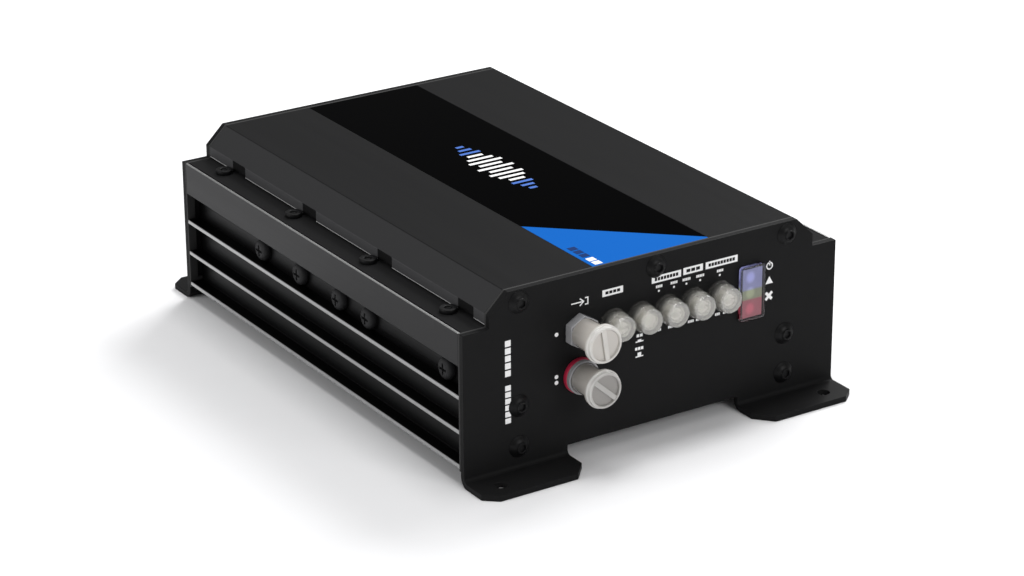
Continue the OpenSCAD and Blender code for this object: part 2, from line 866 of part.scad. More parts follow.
module terminal_screw_1() terminal_screw(1);
module terminal_screw_2() terminal_screw(2);
module terminal_screw_3() terminal_screw(3);
module terminal_screw_4() terminal_screw(4);
module terminal_screw_5() terminal_screw(5);
module wire_clamp_1() wire_clamp(1);
module wire_clamp_2() wire_clamp(2);
module wire_clamp_3() wire_clamp(3);
module wire_clamp_4() wire_clamp(4);
module wire_clamp_5() wire_clamp(5);

front_plate();
rear_plate();
heatsink_left();
heatsink_right();
top_cover();
bottom_plate();
top_strip();
front_gasket();
rear_gasket();
front_panel_screws();
rear_panel_screws();
cover_screws();
bottom_screws();
device_screws();
board_screws();
main_board();
control_board();
board_link();
clamp_bars();
thermal_pads();
power_transistors();
transformer_core();
transformer_winding();
choke_cores();
choke_windings();
supply_capacitors();
input_jack_block();
jack_nut_left();
jack_washer_right();
jack_nut_right();
jack_barrels();
jack_contacts();
jack_cap_left();
jack_cap_right();
potentiometers();
gain_shaft();
subsonic_shaft();
lowpass_shaft();
bass_shaft();
switch_body();
switch_button();
gain_cover();
switch_cover();
subsonic_cover();
lowpass_cover();
bass_cover();
status_window();
status_leds();
terminal_block();
terminal_bars();
terminal_screw_1();
terminal_screw_2();
terminal_screw_3();
terminal_screw_4();
terminal_screw_5();
wire_clamp_1();
wire_clamp_2();
wire_clamp_3();
wire_clamp_4();
wire_clamp_5();
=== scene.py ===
"""Looks for a compact car amplifier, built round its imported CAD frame.

Sizes in the classes are millimetres in the frame's own axes: +X runs along the control
panel, the panel faces -Y, and +Z is up from the mounting surface. A mesh is in metres.
"""

from __future__ import annotations

import logging
import math
from dataclasses import dataclass
from enum import Enum
from typing import Iterable, Sequence

import bpy
from mathutils import Euler, Matrix, Vector


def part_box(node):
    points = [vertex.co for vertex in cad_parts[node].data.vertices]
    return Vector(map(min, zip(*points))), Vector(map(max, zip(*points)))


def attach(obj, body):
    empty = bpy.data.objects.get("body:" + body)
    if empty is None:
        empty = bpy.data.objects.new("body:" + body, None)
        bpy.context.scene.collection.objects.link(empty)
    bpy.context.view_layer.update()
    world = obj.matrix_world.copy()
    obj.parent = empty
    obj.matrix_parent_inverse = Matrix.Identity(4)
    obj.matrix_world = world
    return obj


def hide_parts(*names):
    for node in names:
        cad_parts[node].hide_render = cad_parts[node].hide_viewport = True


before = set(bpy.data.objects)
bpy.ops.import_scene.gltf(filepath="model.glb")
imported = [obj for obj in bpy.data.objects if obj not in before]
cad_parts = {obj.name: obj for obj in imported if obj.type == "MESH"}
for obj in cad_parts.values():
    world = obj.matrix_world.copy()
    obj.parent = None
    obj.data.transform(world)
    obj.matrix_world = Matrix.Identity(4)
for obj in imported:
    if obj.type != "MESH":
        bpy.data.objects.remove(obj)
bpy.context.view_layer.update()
LOG = logging.getLogger("amplifier")
MM = 0.001
ORIGIN = (0, 0, 0)
UP = (0, 0, 1)
FRONT = (0, -1, 0)

Colour = tuple[float, float, float]
Point = tuple[float, float]
Seat = tuple[Sequence[float], Sequence[float]]


# ---------------------------------------------------------------- shader maths


class Value:
    """A number socket of a node tree that takes part in ordinary arithmetic."""

    def __init__(self, graph: "Graph", socket: bpy.types.NodeSocket) -> None:
        """Wraps a socket.

        Args:
            graph: the node tree that new Math nodes are added to.
            socket: the output that carries the number.
        """
        self.graph = graph
        self.socket = socket

    def math(self, operation: str, *terms: "Value | float") -> "Value":
        """Adds one Math node.

        Args:
            operation: the Math node's operation.
            terms: its inputs, in order.

        Returns:
            The node's result.
        """
        inputs = dict(enumerate(terms))
        node = self.graph.node("ShaderNodeMath", {"operation": operation}, inputs)
        return Value(self.graph, node.outputs[0])

    def __add__(self, other: "Value | float") -> "Value":
        """Returns self + other."""
        return self.math("ADD", self, other)

    def __radd__(self, other: float) -> "Value":
        """Returns other + self."""
        return self.math("ADD", other, self)

    def __sub__(self, other: "Value | float") -> "Value":
        """Returns self - other."""
        return self.math("SUBTRACT", self, other)

    def __rsub__(self, other: float) -> "Value":
        """Returns other - self."""
        return self.math("SUBTRACT", other, self)

    def __mul__(self, other: "Value | float") -> "Value":
        """Returns self * other."""
        return self.math("MULTIPLY", self, other)

    def __rmul__(self, other: float) -> "Value":
        """Returns other * self."""
        return self.math("MULTIPLY", other, self)

    def __truediv__(self, other: "Value | float") -> "Value":
        """Returns self / other."""
        return self.math("DIVIDE", self, other)

    def __pow__(self, other: "Value | float") -> "Value":
        """Returns self to the power other."""
        return self.math("POWER", self, other)

    def ramp(self, low: float, high: float) -> "Value":
        """Returns 0 below low and 1 above high, smooth in between.

        Args:
            low: where it starts to rise.
            high: where it reaches 1.

        Returns:
            A number from 0 to 1.
        """
        settings = {"interpolation_type": "SMOOTHSTEP"}
        inputs = {"Value": self, "From Min": low, "From Max": high}
        node = self.graph.node("ShaderNodeMapRange", settings, inputs)
        return Value(self.graph, node.outputs["Result"])

    def above(self, edge: float, soft: float = 0.1) -> "Value":
        """Returns 0 up to edge, and 1 from soft past it."""
        return self.ramp(edge, edge + soft)

    def below(self, edge: float, soft: float = 0.1) -> "Value":
        """Returns 1 up to edge, and 0 from soft past it."""
        return 1 - self.ramp(edge, edge + soft)

    def absolute(self) -> "Value":
        """Returns this value without its sign."""
        return self.math("ABSOLUTE", self)

    def greater(self, other: "Value") -> "Value":
        """Returns the greater of this value and another."""
        return self.math("MAXIMUM", self, other)


class Graph:
    """The node tree of one material, with the helpers that its finish needs."""

    def __init__(self, name: str) -> None:
        """Makes a new material with a Principled shader.

        Args:
            name: the material's name.
        """
        self.material = bpy.data.materials.new(name)
        self.material.use_nodes = True
        self.tree = self.material.node_tree
        self.shader = self.tree.nodes["Principled BSDF"]

    def node(self, kind: str, settings: dict | None = None, inputs: dict | None = None) -> bpy.types.Node:
        """Adds a node, sets it up, and then feeds its sockets.

        Args:
            kind: the node's type.
            settings: attributes of the node, such as its operation.
            inputs: a number, colour, socket or Value for each socket's name or index.

        Returns:
            The new node.
        """
        made = self.tree.nodes.new(kind)
        for key, setting in (settings or {}).items():
            setattr(made, key, setting)
        for key, given in (inputs or {}).items():
            self.feed(made.inputs[key], given)
        return made

    def feed(self, socket: bpy.types.NodeSocket, given: object) -> None:
        """Links a socket to a Value or another socket, or sets its own number or colour.

        Args:
            socket: the input.
            given: what it gets.
        """
        if isinstance(given, Value):
            self.tree.links.new(given.socket, socket)
        elif isinstance(given, bpy.types.NodeSocket):
            self.tree.links.new(given, socket)
        elif isinstance(given, tuple) and len(given) == 3 and socket.type == "RGBA":
            socket.default_value = (*given, 1.0)
        else:
            socket.default_value = given

    def set(self, **inputs: object) -> None:
        """Feeds the shader's sockets; an underscore in a name stands for a space."""
        for key, given in inputs.items():
            self.feed(self.shader.inputs[key.replace("_", " ")], given)

    def place(self) -> bpy.types.NodeSocket:
        """Returns the point being shaded, in metres in the frame's axes."""
        return self.node("ShaderNodeTexCoord").outputs["Object"]

    def axes(self) -> tuple[Value, Value, Value]:
        """Returns the point being shaded as three numbers, in millimetres."""
        split = self.node("ShaderNodeSeparateXYZ", None, {0: self.place()})
        x, y, z = (Value(self, socket) / MM for socket in split.outputs)
        return x, y, z

    def noise(self, grain: float, stretch: Sequence[float] = (1, 1, 1), detail: float = 2) -> Value:
        """Adds a noise pattern.

        Args:
            grain: the size of its grains, in millimetres.
            stretch: how many times longer a grain is along each axis.
            detail: how many finer layers lie on it.

        Returns:
            A number round 0.5.
        """
        scale = tuple(1 / (grain * MM * s) for s in stretch)
        mapped = self.node("ShaderNodeMapping", None, {"Vector": self.place(), "Scale": scale})
        inputs = {"Vector": mapped.outputs[0], "Scale": 1.0, "Detail": detail}
        return Value(self, self.node("ShaderNodeTexNoise", None, inputs).outputs[0])

    def mix(self, share: Value | float, first: object, second: object) -> bpy.types.NodeSocket:
        """Returns the first colour where share is 0, and the second where it is 1."""
        made = self.node("ShaderNodeMix", {"data_type": "RGBA"}, {0: share, 6: first, 7: second})
        return made.outputs[2]

    def relief(self, height: Value, depth: float) -> None:
        """Raises the surface by height, whose 0 to 1 stands for depth in millimetres."""
        inputs = {"Height": height, "Distance": depth * MM, "Strength": 1.0}
        self.set(Normal=self.node("ShaderNodeBump", None, inputs).outputs[0])


# -------------------------------------------------------------------- finishes


@dataclass(frozen=True)
class Finish:
    """A surface finish: a colour with a roughness, and the texture its subclass adds."""

    name: str
    colour: Colour
    roughness: float

    def material(self) -> bpy.types.Material:
        """Returns this finish's material, made once.

        Returns:
            The material, with its nodes.
        """
        found = bpy.data.materials.get(self.name)
        if found:
            return found
        graph = Graph(self.name)
        graph.set(Base_Color=self.colour, Roughness=self.roughness)
        self.dress(graph)
        return graph.material

    def dress(self, graph: Graph) -> None:
        """Adds what sets this finish apart; a plain finish adds nothing."""

    def shade(self, share: float) -> Colour:
        """Returns the colour, lighter or darker by a share."""
        return tuple(min(1.0, part * (1 + share)) for part in self.colour)

    def tones(self, graph: Graph, share: Value, darker: float, lighter: float) -> bpy.types.NodeSocket:
        """Returns the colour, darker where share is 0 and lighter where it is 1."""
        return graph.mix(share, self.shade(-darker), self.shade(lighter))


@dataclass(frozen=True)
class Coating(Finish):
    """Paint, moulded plastic or rubber with a fine all-over texture."""

    grain: float = 0.35
    depth: float = 0.02
    mottle: float = 0.15
    specular: float = 0.5

    def dress(self, graph: Graph) -> None:
        """Adds the grain's relief, and cloudy changes of tone and gloss.

        Args:
            graph: the material's nodes.
        """
        cloud = graph.noise(9)
        fine = graph.noise(self.grain, detail=3)
        share = cloud * 0.6 + fine * 0.4
        graph.set(
            Base_Color=self.tones(graph, share, self.mottle, self.mottle),
            Roughness=self.roughness - 0.06 + cloud * 0.12,
            Specular_IOR_Level=self.specular,
        )
        graph.relief(fine, self.depth)


@dataclass(frozen=True)
class Ink(Coating):
    """Printed ink, finer and more even than a coating."""

    grain: float = 0.1
    depth: float = 0.003
    mottle: float = 0.06


@dataclass(frozen=True)
class Extruded(Finish):
    """Dark anodised extrusion with faint die lines along its length."""

    specular: float = 0.5
    metallic: float = 0.0

    def dress(self, graph: Graph) -> None:
        """Adds die lines along Y, a soft cloud of gloss, and what zones() adds.

        Args:
            graph: the material's nodes.
        """
        lines = graph.noise(0.22, (1, 400, 1), 2)
        broad = graph.noise(2.5, (1, 60, 1), 1)
        speck = graph.noise(0.12)
        share = lines * 0.5 + broad * 0.5
        plain = self.tones(graph, share, 0.2, 0.2)
        graph.set(
            Base_Color=self.zones(graph, plain),
            Roughness=self.roughness - 0.09 + lines * 0.1 + broad * 0.08,
            Metallic=self.metallic,
            Specular_IOR_Level=self.specular,
        )
        graph.relief(lines * 0.7 + speck * 0.3, 0.006)

    def zones(self, graph: Graph, plain: bpy.types.NodeSocket) -> bpy.types.NodeSocket:
        """Returns the colour with its zones; a plain extrusion has none."""
        return plain


@dataclass(frozen=True)
class BrightCutSide(Extruded):
    """Side extrusion with painted shade in its channels, and bright-cut fin tips and upper lip."""

    bright: Colour = (0.4, 0.4, 0.4)
    painted_channel_shade: Colour = (0.012, 0.012, 0.0125)
    face_x: float = 72.5
    band_z: float = 40.7
    lip_z: float = 52.0
    tip_depth: float = 0.32
    lip_depth: float = 0.22
    lip_width: float = 1.0

    def zones(self, graph: Graph, plain: bpy.types.NodeSocket) -> bpy.types.NodeSocket:
        """Paints shade into the channels and brightens what the cutter has skimmed.

        Args:
            graph: the material's nodes.
            plain: the colour without zones.

        Returns:
            The colour with its zones.
        """
        x, _, z = graph.axes()
        side = x.absolute()
        finned = z.below(self.band_z - 0.3, 0.2)
        tips = side.above(self.face_x - self.tip_depth)
        lip = z.above(self.lip_z - self.lip_depth) * side.above(self.face_x - self.lip_width)
        # Painted shade: the channels between the fins are darkened as if little light reaches them.
        inner = graph.mix(finned * (1 - tips), plain, self.painted_channel_shade)
        return graph.mix((finned * tips).greater(lip), inner, self.bright)


@dataclass(frozen=True)
class PaintedLightCover(Extruded):
    """Cover extrusion with painted light: a paler riser and slope, and a painted highlight line along its
    foot.
    """

    bright: Colour = (0.6, 0.6, 0.6)
    riser: Colour = (0.06, 0.06, 0.062)
    slope: Colour = (0.034, 0.034, 0.035)
    wall_x: Point = (62.58, 63.1)
    foot_z: Point = (52.32, 52.8)
    riser_top: float = 56.3
    slope_z: Point = (56.2, 62.65)

    def zones(self, graph: Graph, plain: bpy.types.NodeSocket) -> bpy.types.NodeSocket:
        """Paints light onto the riser and the slope, and a highlight line along the foot of the riser.

        Args:
            graph: the material's nodes.
            plain: the colour without zones.

        Returns:
            The colour with its zones.
        """
        x, _, z = graph.axes()
        side = x.absolute()
        # Painted light: the riser and the slope are painted paler than the top, and a painted highlight runs
        # along the foot.
        inclined = z.above(self.slope_z[0]) * z.below(self.slope_z[1])
        upright = side.above(self.wall_x[0]) * side.below(self.wall_x[1])
        wall = upright * z.above(self.foot_z[0]) * z.below(self.riser_top)
        line = wall * z.below(self.foot_z[1], 0.06)
        painted_slope = graph.mix(inclined, plain, self.slope)
        return graph.mix(line, graph.mix(wall, painted_slope, self.riser), self.bright)


@dataclass(frozen=True)
class Plated(Finish):
    """Bare or plated metal with fine handling scratches."""

    scratch: float = 0.25

    def dress(self, graph: Graph) -> None:
        """Adds scratches and dulled patches.

        Args:
            graph: the material's nodes.
        """
        scratches = graph.noise(0.08, (1, 14, 3), 2)
        patches = graph.noise(2.2, detail=3)
        graph.set(
            Base_Color=self.tones(graph, patches, 0.12, 0.08),
            Roughness=self.roughness - 0.05 + scratches * self.scratch * 0.4 + patches * 0.1,
            Metallic=1.0,
        )
        graph.relief(scratches, 0.004)


@dataclass(frozen=True)
class StripPrint(Finish):
    """Gloss black strip with one printed corner in a second colour."""

    second: Colour = (0.008, 0.11, 0.44)
    specular: float = 0.004
    low: Point = (0, 0)
    high: Point = (1, 1)

    def dress(self, graph: Graph) -> None:
        """Prints the triangle whose legs run from the corner low to high's X and Y.

        Args:
            graph: the material's nodes.
        """
        x, y, _ = graph.axes()
        across = (x - self.low[0]) / (self.high[0] - self.low[0])
        along = (y - self.low[1]) / (self.high[1] - self.low[1])
        printed = (across + along).below(0.997, 0.006)
        film = graph.noise(14, detail=1)
        graph.set(
            Base_Color=graph.mix(printed, self.colour, self.second),
            Roughness=self.roughness + film * 0.03 + printed * 0.16,
            Specular_IOR_Level=self.specular,
        )
        graph.relief(film, 0.01)


@dataclass(frozen=True)
class Silicone(Finish):
    """Cloudy soft silicone, thinner towards the panel, with painted highlights round the edge of its front,
    on its front and along its upper ridges.
    """

    middle: Point = (0.0, 0.0)
    root_y: float = 0.0
    reach: float = 8.0
    rim_r: float = 4.0
    clearness: float = 0.5
    root: float = 0.3
    body: float = 0.9
    face_tone: float = 0.0
    # Where along the reach the painted highlight lines run over the upper side of the ridges.
    ridges: tuple[float, ...] = ()
    glint: Colour = (0.92, 0.91, 0.88)

    def dress(self, graph: Graph) -> None:
        """Adds the clouding, the clear root, the painted highlights and light that passes through.

        Args:
            graph: the material's nodes.
        """
        x, y, z = graph.axes()
        out = (self.root_y - y) / self.reach
        thick = out.ramp(0.1, 0.62)
        cloud = graph.noise(4.0, detail=1)
        body = graph.mix(thick, self.shade(-0.25), self.tones(graph, cloud, 0.1, 0.05))
        body = graph.mix(out.ramp(0.8, 0.86), body, self.shade(self.face_tone))
        away = ((x - self.middle[0]) ** 2.0 + (z - self.middle[1]) ** 2.0) ** 0.5
        # Painted highlights: a pale ring round the front edge, a paler front, and pale lines on the upper
        # side of each ridge.
        rim_highlight = away.ramp(self.rim_r - 0.55, self.rim_r - 0.2) * out.ramp(0.8, 0.88) * 0.8
        front_highlight = out.ramp(0.93, 0.975) * 0.4
        ridge_lines = sum((out - ridge).absolute().below(0.012, 0.016) for ridge in self.ridges)
        ridge_highlight = ridge_lines * cloud.ramp(0.35, 0.6) * z.above(self.middle[1], 3) * 0.9
        graph.set(
            Base_Color=graph.mix(rim_highlight.greater(ridge_highlight).greater(front_highlight), body, self.glint),
            Roughness=self.roughness + cloud * 0.05,
            Alpha=self.root + thick * (self.body - self.root),
            Transmission_Weight=self.clearness,
            IOR=1.41,
            Coat_Weight=1.0,
            Coat_Roughness=0.03,
        )
        graph.relief(graph.noise(1.4, detail=1), 0.012)


@dataclass(frozen=True)
class ClearMoulding(Finish):
    """Clear plastic with moulding haze."""

    def dress(self, graph: Graph) -> None:
        """Adds the haze.

        Args:
            graph: the material's nodes.
        """
        haze = graph.noise(3.5)
        graph.set(Roughness=self.roughness + haze * 0.06, Transmission_Weight=1.0, IOR=1.46)
        graph.relief(haze, 0.01)


@dataclass(frozen=True)
class StatusGlow(Finish):
    """Three lights behind a diffuser: each has a bright spot, and the zones blend."""

    zones: tuple[Colour, Colour, Colour] = ((1, 0, 0), (0, 1, 0), (0, 0, 1))
    centre: Point = (0, 0)
    pitch: float = 5.5
    spot_w: float = 1.5
    spot_h: float = 1.7
    strength: float = 1.0

    def dress(self, graph: Graph) -> None:
        """Mixes the zones up the window, and adds a spot at each light.

        Args:
            graph: the material's nodes.
        """
        x, _, z = graph.axes()
        low, middle, high = self.zones
        up = (z - self.centre[1]) / self.pitch
        tint = graph.mix(up.ramp(-0.5, -0.32), low, middle)
        tint = graph.mix(up.ramp(0.12, 0.32), tint, high)
        aside = ((x - self.centre[0]) / self.spot_w) ** 2.0
        tall = self.pitch / self.spot_h
        spots = sum((aside + ((up - step) * tall) ** 2.0).below(0.0, 2.2) for step in (-1.0, 0.0, 1.0))
        cloud = graph.noise(1.6)
        graph.set(
            Base_Color=graph.mix(0.65, tint, (0.1, 0.1, 0.1)),
            Emission_Color=graph.mix(spots * 0.6 + 0.36 + cloud * 0.1, (0.0, 0.0, 0.0), tint),
            Emission_Strength=self.strength,
        )
        graph.relief(cloud, 0.02)


@dataclass(frozen=True)
class SolderMask(Finish):
    """Green board with copper tracks under its mask."""

    def dress(self, graph: Graph) -> None:
        """Raises tracks in bands, and flecks the mask.

        Args:
            graph: the material's nodes.
        """
        inputs = {"Vector": graph.place(), "Scale": 260.0, "Distortion": 2.0}
        wave = Value(graph, graph.node("ShaderNodeTexWave", None, inputs).outputs[1])
        track = wave.ramp(0.55, 0.62)
        fleck = graph.noise(0.3)
        graph.set(
            Base_Color=self.tones(graph, track, 0.2, 0.5),
            Roughness=self.roughness + fleck * 0.1,
            Coat_Weight=0.4,
        )
        graph.relief(track, 0.03)


@dataclass(frozen=True)
class Wound(Finish):
    """Enamelled wire wound on a ring."""

    centre: Point = (0, 0)
    turns: int = 60

    def dress(self, graph: Graph) -> None:
        """Rounds each turn of the wire with a bump, paints shade into the grooves between turns and a little
        light on each crown.

        Args:
            graph: the material's nodes.
        """
        x, y, _ = graph.axes()
        angle = y.math("ARCTAN2", y - self.centre[1], x - self.centre[0])
        turn = angle.math("SINE", angle * float(self.turns)) * 0.5 + 0.5
        # Painted shade in the grooves between turns, and a little painted light on each turn's crown.
        graph.set(
            Base_Color=self.tones(graph, turn, 0.5, 0.1),
            Metallic=0.9,
            Coat_Weight=0.5,
        )
        graph.relief(turn, 0.35)


@dataclass(frozen=True)
class Metal(Finish):
    """A bright or gilded metal with a soft tarnish."""

    def dress(self, graph: Graph) -> None:
        """Adds the tarnish.

        Args:
            graph: the material's nodes.
        """
        cloud = graph.noise(1.1, detail=3)
        graph.set(
            Base_Color=self.tones(graph, cloud, 0.2, 0.1),
            Roughness=self.roughness - 0.06 + cloud * 0.12,
            Metallic=1.0,
        )
        graph.relief(graph.noise(0.1), 0.003)


class Shop(Enum):
    """The finishes that the amplifier is made in, by what they are on."""

    PLATE = Coating("satin_powder_coat", (0.0108, 0.0108, 0.0111), 0.46, grain=0.28, depth=0.012,
                    specular=0.04)
    SIDES = BrightCutSide("side_anodising_painted_channel_shade", (0.024, 0.024, 0.0247), 0.42, metallic=1.0)
    COVER = PaintedLightCover("cover_anodising_painted_light", (0.0145, 0.0145, 0.0149), 0.42, specular=0.015)
    UNDERSIDE = Extruded("rolled_bottom_sheet", (0.02, 0.02, 0.021), 0.45, specular=0.2)
    SEAL = Coating("seal_rubber", (0.01, 0.01, 0.01), 0.75, grain=0.2)
    BLACK_OXIDE = Coating("black_oxide", (0.004, 0.004, 0.0043), 0.42, grain=0.15, depth=0.004, specular=0.16)
    DULL_OXIDE = Coating("dull_oxide", (0.016, 0.016, 0.017), 0.6, grain=0.15, depth=0.004, specular=0.15)
    NICKEL = Plated("nickel_plate", (0.62, 0.61, 0.58), 0.24)
    ZINC = Plated("dull_zinc", (0.5, 0.5, 0.51), 0.38)
    GOLD = Metal("gold_flash", (0.83, 0.58, 0.22), 0.22)
    BRASS = Metal("plain_brass", (0.72, 0.52, 0.22), 0.33)
    TINNED = Metal("tinned_copper", (0.7, 0.45, 0.3), 0.3)
    BOARD = SolderMask("solder_mask", (0.012, 0.09, 0.035), 0.35)
    MOULDING = Coating("black_moulding", (0.012, 0.012, 0.0125), 0.5, grain=0.22, depth=0.015, specular=0.3)
    PAD = Coating("pad_silicone", (0.62, 0.61, 0.57), 0.8, grain=0.4)
    FERRITE = Coating("fired_ferrite", (0.03, 0.03, 0.033), 0.65, grain=0.3, depth=0.03)
    SLEEVE = Coating("capacitor_sleeve", (0.02, 0.024, 0.04), 0.25, grain=1.2, depth=0.01)
    PALE_NUT = Coating("pale_nut_moulding", (0.3, 0.3, 0.31), 0.22, grain=0.3, depth=0.008)
    RED = Coating("red_washer_moulding", (0.5, 0.02, 0.06), 0.35, grain=0.3, depth=0.008)
    WHITE = Coating("white_moulding", (0.62, 0.62, 0.6), 0.4, grain=0.3, depth=0.008)
    INK = Ink("white_marking_ink", (0.84, 0.84, 0.84), 0.45)
    BLUE_INK = Ink("blue_marking_ink", (0.02, 0.12, 0.5), 0.45)
    NAVY_INK = Ink("navy_marking_ink", (0.006, 0.03, 0.13), 0.45, specular=0.03)
    WINDOW = ClearMoulding("clear_window_moulding", (0.93, 0.94, 0.97), 0.05)
    LENS = Coating("led_lens", (0.7, 0.7, 0.74), 0.2, grain=0.5, depth=0.004)


def dress(piece: bpy.types.Object, finish: Finish | Shop) -> None:
    """Gives an object one finish.

    Args:
        piece: a new piece or a CAD node.
        finish: the finish, or its place in the shop.
    """
    look = finish.value if isinstance(finish, Shop) else finish
    piece.data.materials.clear()
    piece.data.materials.append(look.material())


def deliver(piece: bpy.types.Object, finish: Finish | Shop, body: str = "chassis",
            nodes: Iterable[str] = ()) -> bpy.types.Object:
    """Finishes a piece, puts it on its body and reports it.

    Args:
        piece: the piece, with its place in its mesh.
        finish: its surface finish.
        body: the body that it moves with.
        nodes: the CAD nodes that it stands for.

    Returns:
        The piece.
    """
    dress(piece, finish)
    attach(piece, body)
    if nodes:
        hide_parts(*nodes)
    LOG.info("%s: %d faces on %s", piece.name, len(piece.data.polygons), body)
    return piece


def node_box(node: str) -> tuple[Vector, Vector]:
    """Returns a CAD node's lowest and highest corners, in millimetres."""
    low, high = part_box(node)
    return low / MM, high / MM


def node_centre(node: str) -> Vector:
    """Returns the middle of a CAD node's box, in millimetres."""
    low, high = node_box(node)
    return (low + high) / 2


def panel_face() -> float:
    """Returns the y of the front plate's outer face, in millimetres."""
    plate_t = 2.0
    return node_box("front_gasket")[0].y - plate_t


def at(place: Sequence[float]) -> Matrix:
    """Returns the transform that carries the origin to a point in millimetres."""
    return Matrix.Translation(Vector(place) * MM)


def aimed(place: Sequence[float], along: Sequence[float]) -> Matrix:
    """Returns the transform to a point that also turns +Z to a direction."""
    return at(place) @ Vector(along).to_track_quat("Z", "Y").to_matrix().to_4x4()


def about_y(place: Sequence[float], angle: float) -> Matrix:
    """Returns a turn about a line along Y through a point, by an angle in radians."""
    return at(place) @ Matrix.Rotation(angle, 4, "Y") @ at(place).inverted()


# ------------------------------------------------------------------- modelling


def alone(piece: bpy.types.Object) -> None:
    """Makes one object the only selected one, and the active one."""
    bpy.ops.object.select_all(action="DESELECT")
    piece.select_set(True)
    bpy.context.view_layer.objects.active = piece


def new_piece(name: str) -> bpy.types.Object:
    """Names the primitive that was just added, and moves its place into its mesh."""
    piece = bpy.context.object
    piece.name = piece.data.name = name
    alone(piece)
    bpy.ops.object.transform_apply(location=True, rotation=True, scale=True)
    return piece


def close_up(piece: bpy.types.Object, shrink: bool = False) -> None:
    """Merges doubled points and turns every face outwards.

    Args:
        piece: the object.
        shrink: also dissolves the edges inside flat faces.
    """
    alone(piece)
    bpy.ops.object.mode_set(mode="EDIT")
    bpy.ops.mesh.select_all(action="SELECT")
    bpy.ops.mesh.remove_doubles(threshold=0.002 * MM)
    if shrink:
        bpy.ops.mesh.dissolve_limited(angle_limit=math.radians(0.6))
    bpy.ops.mesh.normals_make_consistent(inside=False)
    bpy.ops.object.mode_set(mode="OBJECT")


def round_edges(piece: bpy.types.Object, width: float, steps: int = 2, limit: float = 35) -> None:
    """Rounds the sharp edges and smooths the shading.

    Args:
        piece: the object.
        width: the size of the rounding, in millimetres.
        steps: how many faces make up a rounding.
        limit: the least angle of an edge that is rounded, in degrees.
    """
    alone(piece)
    bpy.ops.object.shade_smooth()
    bevel = piece.modifiers.new("rounding", "BEVEL")
    bevel.width = width * MM
    bevel.segments = steps
    bevel.angle_limit = math.radians(limit)
    bevel.use_clamp_overlap = False
    bpy.ops.object.modifier_apply(modifier=bevel.name)
    weighted = piece.modifiers.new("flat_faces", "WEIGHTED_NORMAL")
    weighted.mode = "FACE_AREA"
    weighted.weight = 100
    bpy.ops.object.modifier_apply(modifier=weighted.name)


def cut(piece: bpy.types.Object, tool: bpy.types.Object) -> None:
    """Cuts one solid away from another, and removes the tool.

    Args:
        piece: the solid that is cut.
        tool: the solid that is taken away.
    """
    alone(piece)
    boolean = piece.modifiers.new("cut", "BOOLEAN")
    boolean.operation = "DIFFERENCE"
    boolean.object = tool
    boolean.solver = "EXACT"
    bpy.ops.object.modifier_apply(modifier=boolean.name)
    bpy.data.objects.remove(tool)


def moved(piece: bpy.types.Object, move: Matrix) -> bpy.types.Object:
    """Moves and turns a piece's mesh, and returns the piece.

    Args:
        piece: the piece.
        move: where it goes, as a transform of the mesh.

    Returns:
        The same piece.
    """
    alone(piece)
    piece.matrix_world = move
    bpy.ops.object.transform_apply(location=True, rotation=True, scale=True)
    return piece


def copied(piece: bpy.types.Object, name: str, move: Matrix) -> bpy.types.Object:
    """Copies a piece with its own mesh.

    Args:
        piece: the piece to copy.
        name: the copy's name.
        move: where the copy goes, as a transform of the mesh.

    Returns:
        The copy.
    """
    twin = bpy.data.objects.new(name, piece.data.copy())
    bpy.context.collection.objects.link(twin)
    return moved(twin, move)


def joined(name: str, pieces: Sequence[bpy.types.Object]) -> bpy.types.Object:
    """Joins pieces into one object.

    Args:
        name: the whole's name.
        pieces: at least two pieces.

    Returns:
        The whole.
    """
    bpy.ops.object.select_all(action="DESELECT")
    for piece in pieces:
        piece.select_set(True)
    bpy.context.view_layer.objects.active = pieces[0]
    bpy.ops.object.join()
    whole = bpy.context.object
    whole.name = whole.data.name = name
    return whole


def remade(node: str, name: str, width: float, finish: Shop, body: str = "chassis") -> None:
    """Copies a CAD node's shape, rounds its edges and delivers the copy in its place.

    Args:
        node: the CAD node.
        name: the new piece's name.
        width: the size of the rounding, in millimetres.
        finish: its surface finish.
        body: the body that it moves with.
    """
    piece = copied(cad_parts[node], name, Matrix.Identity(4))
    close_up(piece, shrink=True)
    round_edges(piece, width)
    deliver(piece, finish, body, [node])


def slab(name: str, low: Sequence[float], high: Sequence[float], rounding: float = 0.0) -> bpy.types.Object:
    """Adds a box between two corners.

    Args:
        name: its name.
        low: the lowest corner, in millimetres.
        high: the highest corner, in millimetres.
        rounding: the size of its edges' rounding.

    Returns:
        The box, with its place in its mesh.
    """
    corner, far = Vector(low) * MM, Vector(high) * MM
    bpy.ops.object.select_all(action="DESELECT")
    bpy.ops.mesh.primitive_cube_add(size=1, location=(corner + far) / 2, scale=far - corner)
    piece = new_piece(name)
    if rounding:
        round_edges(piece, rounding)
    return piece


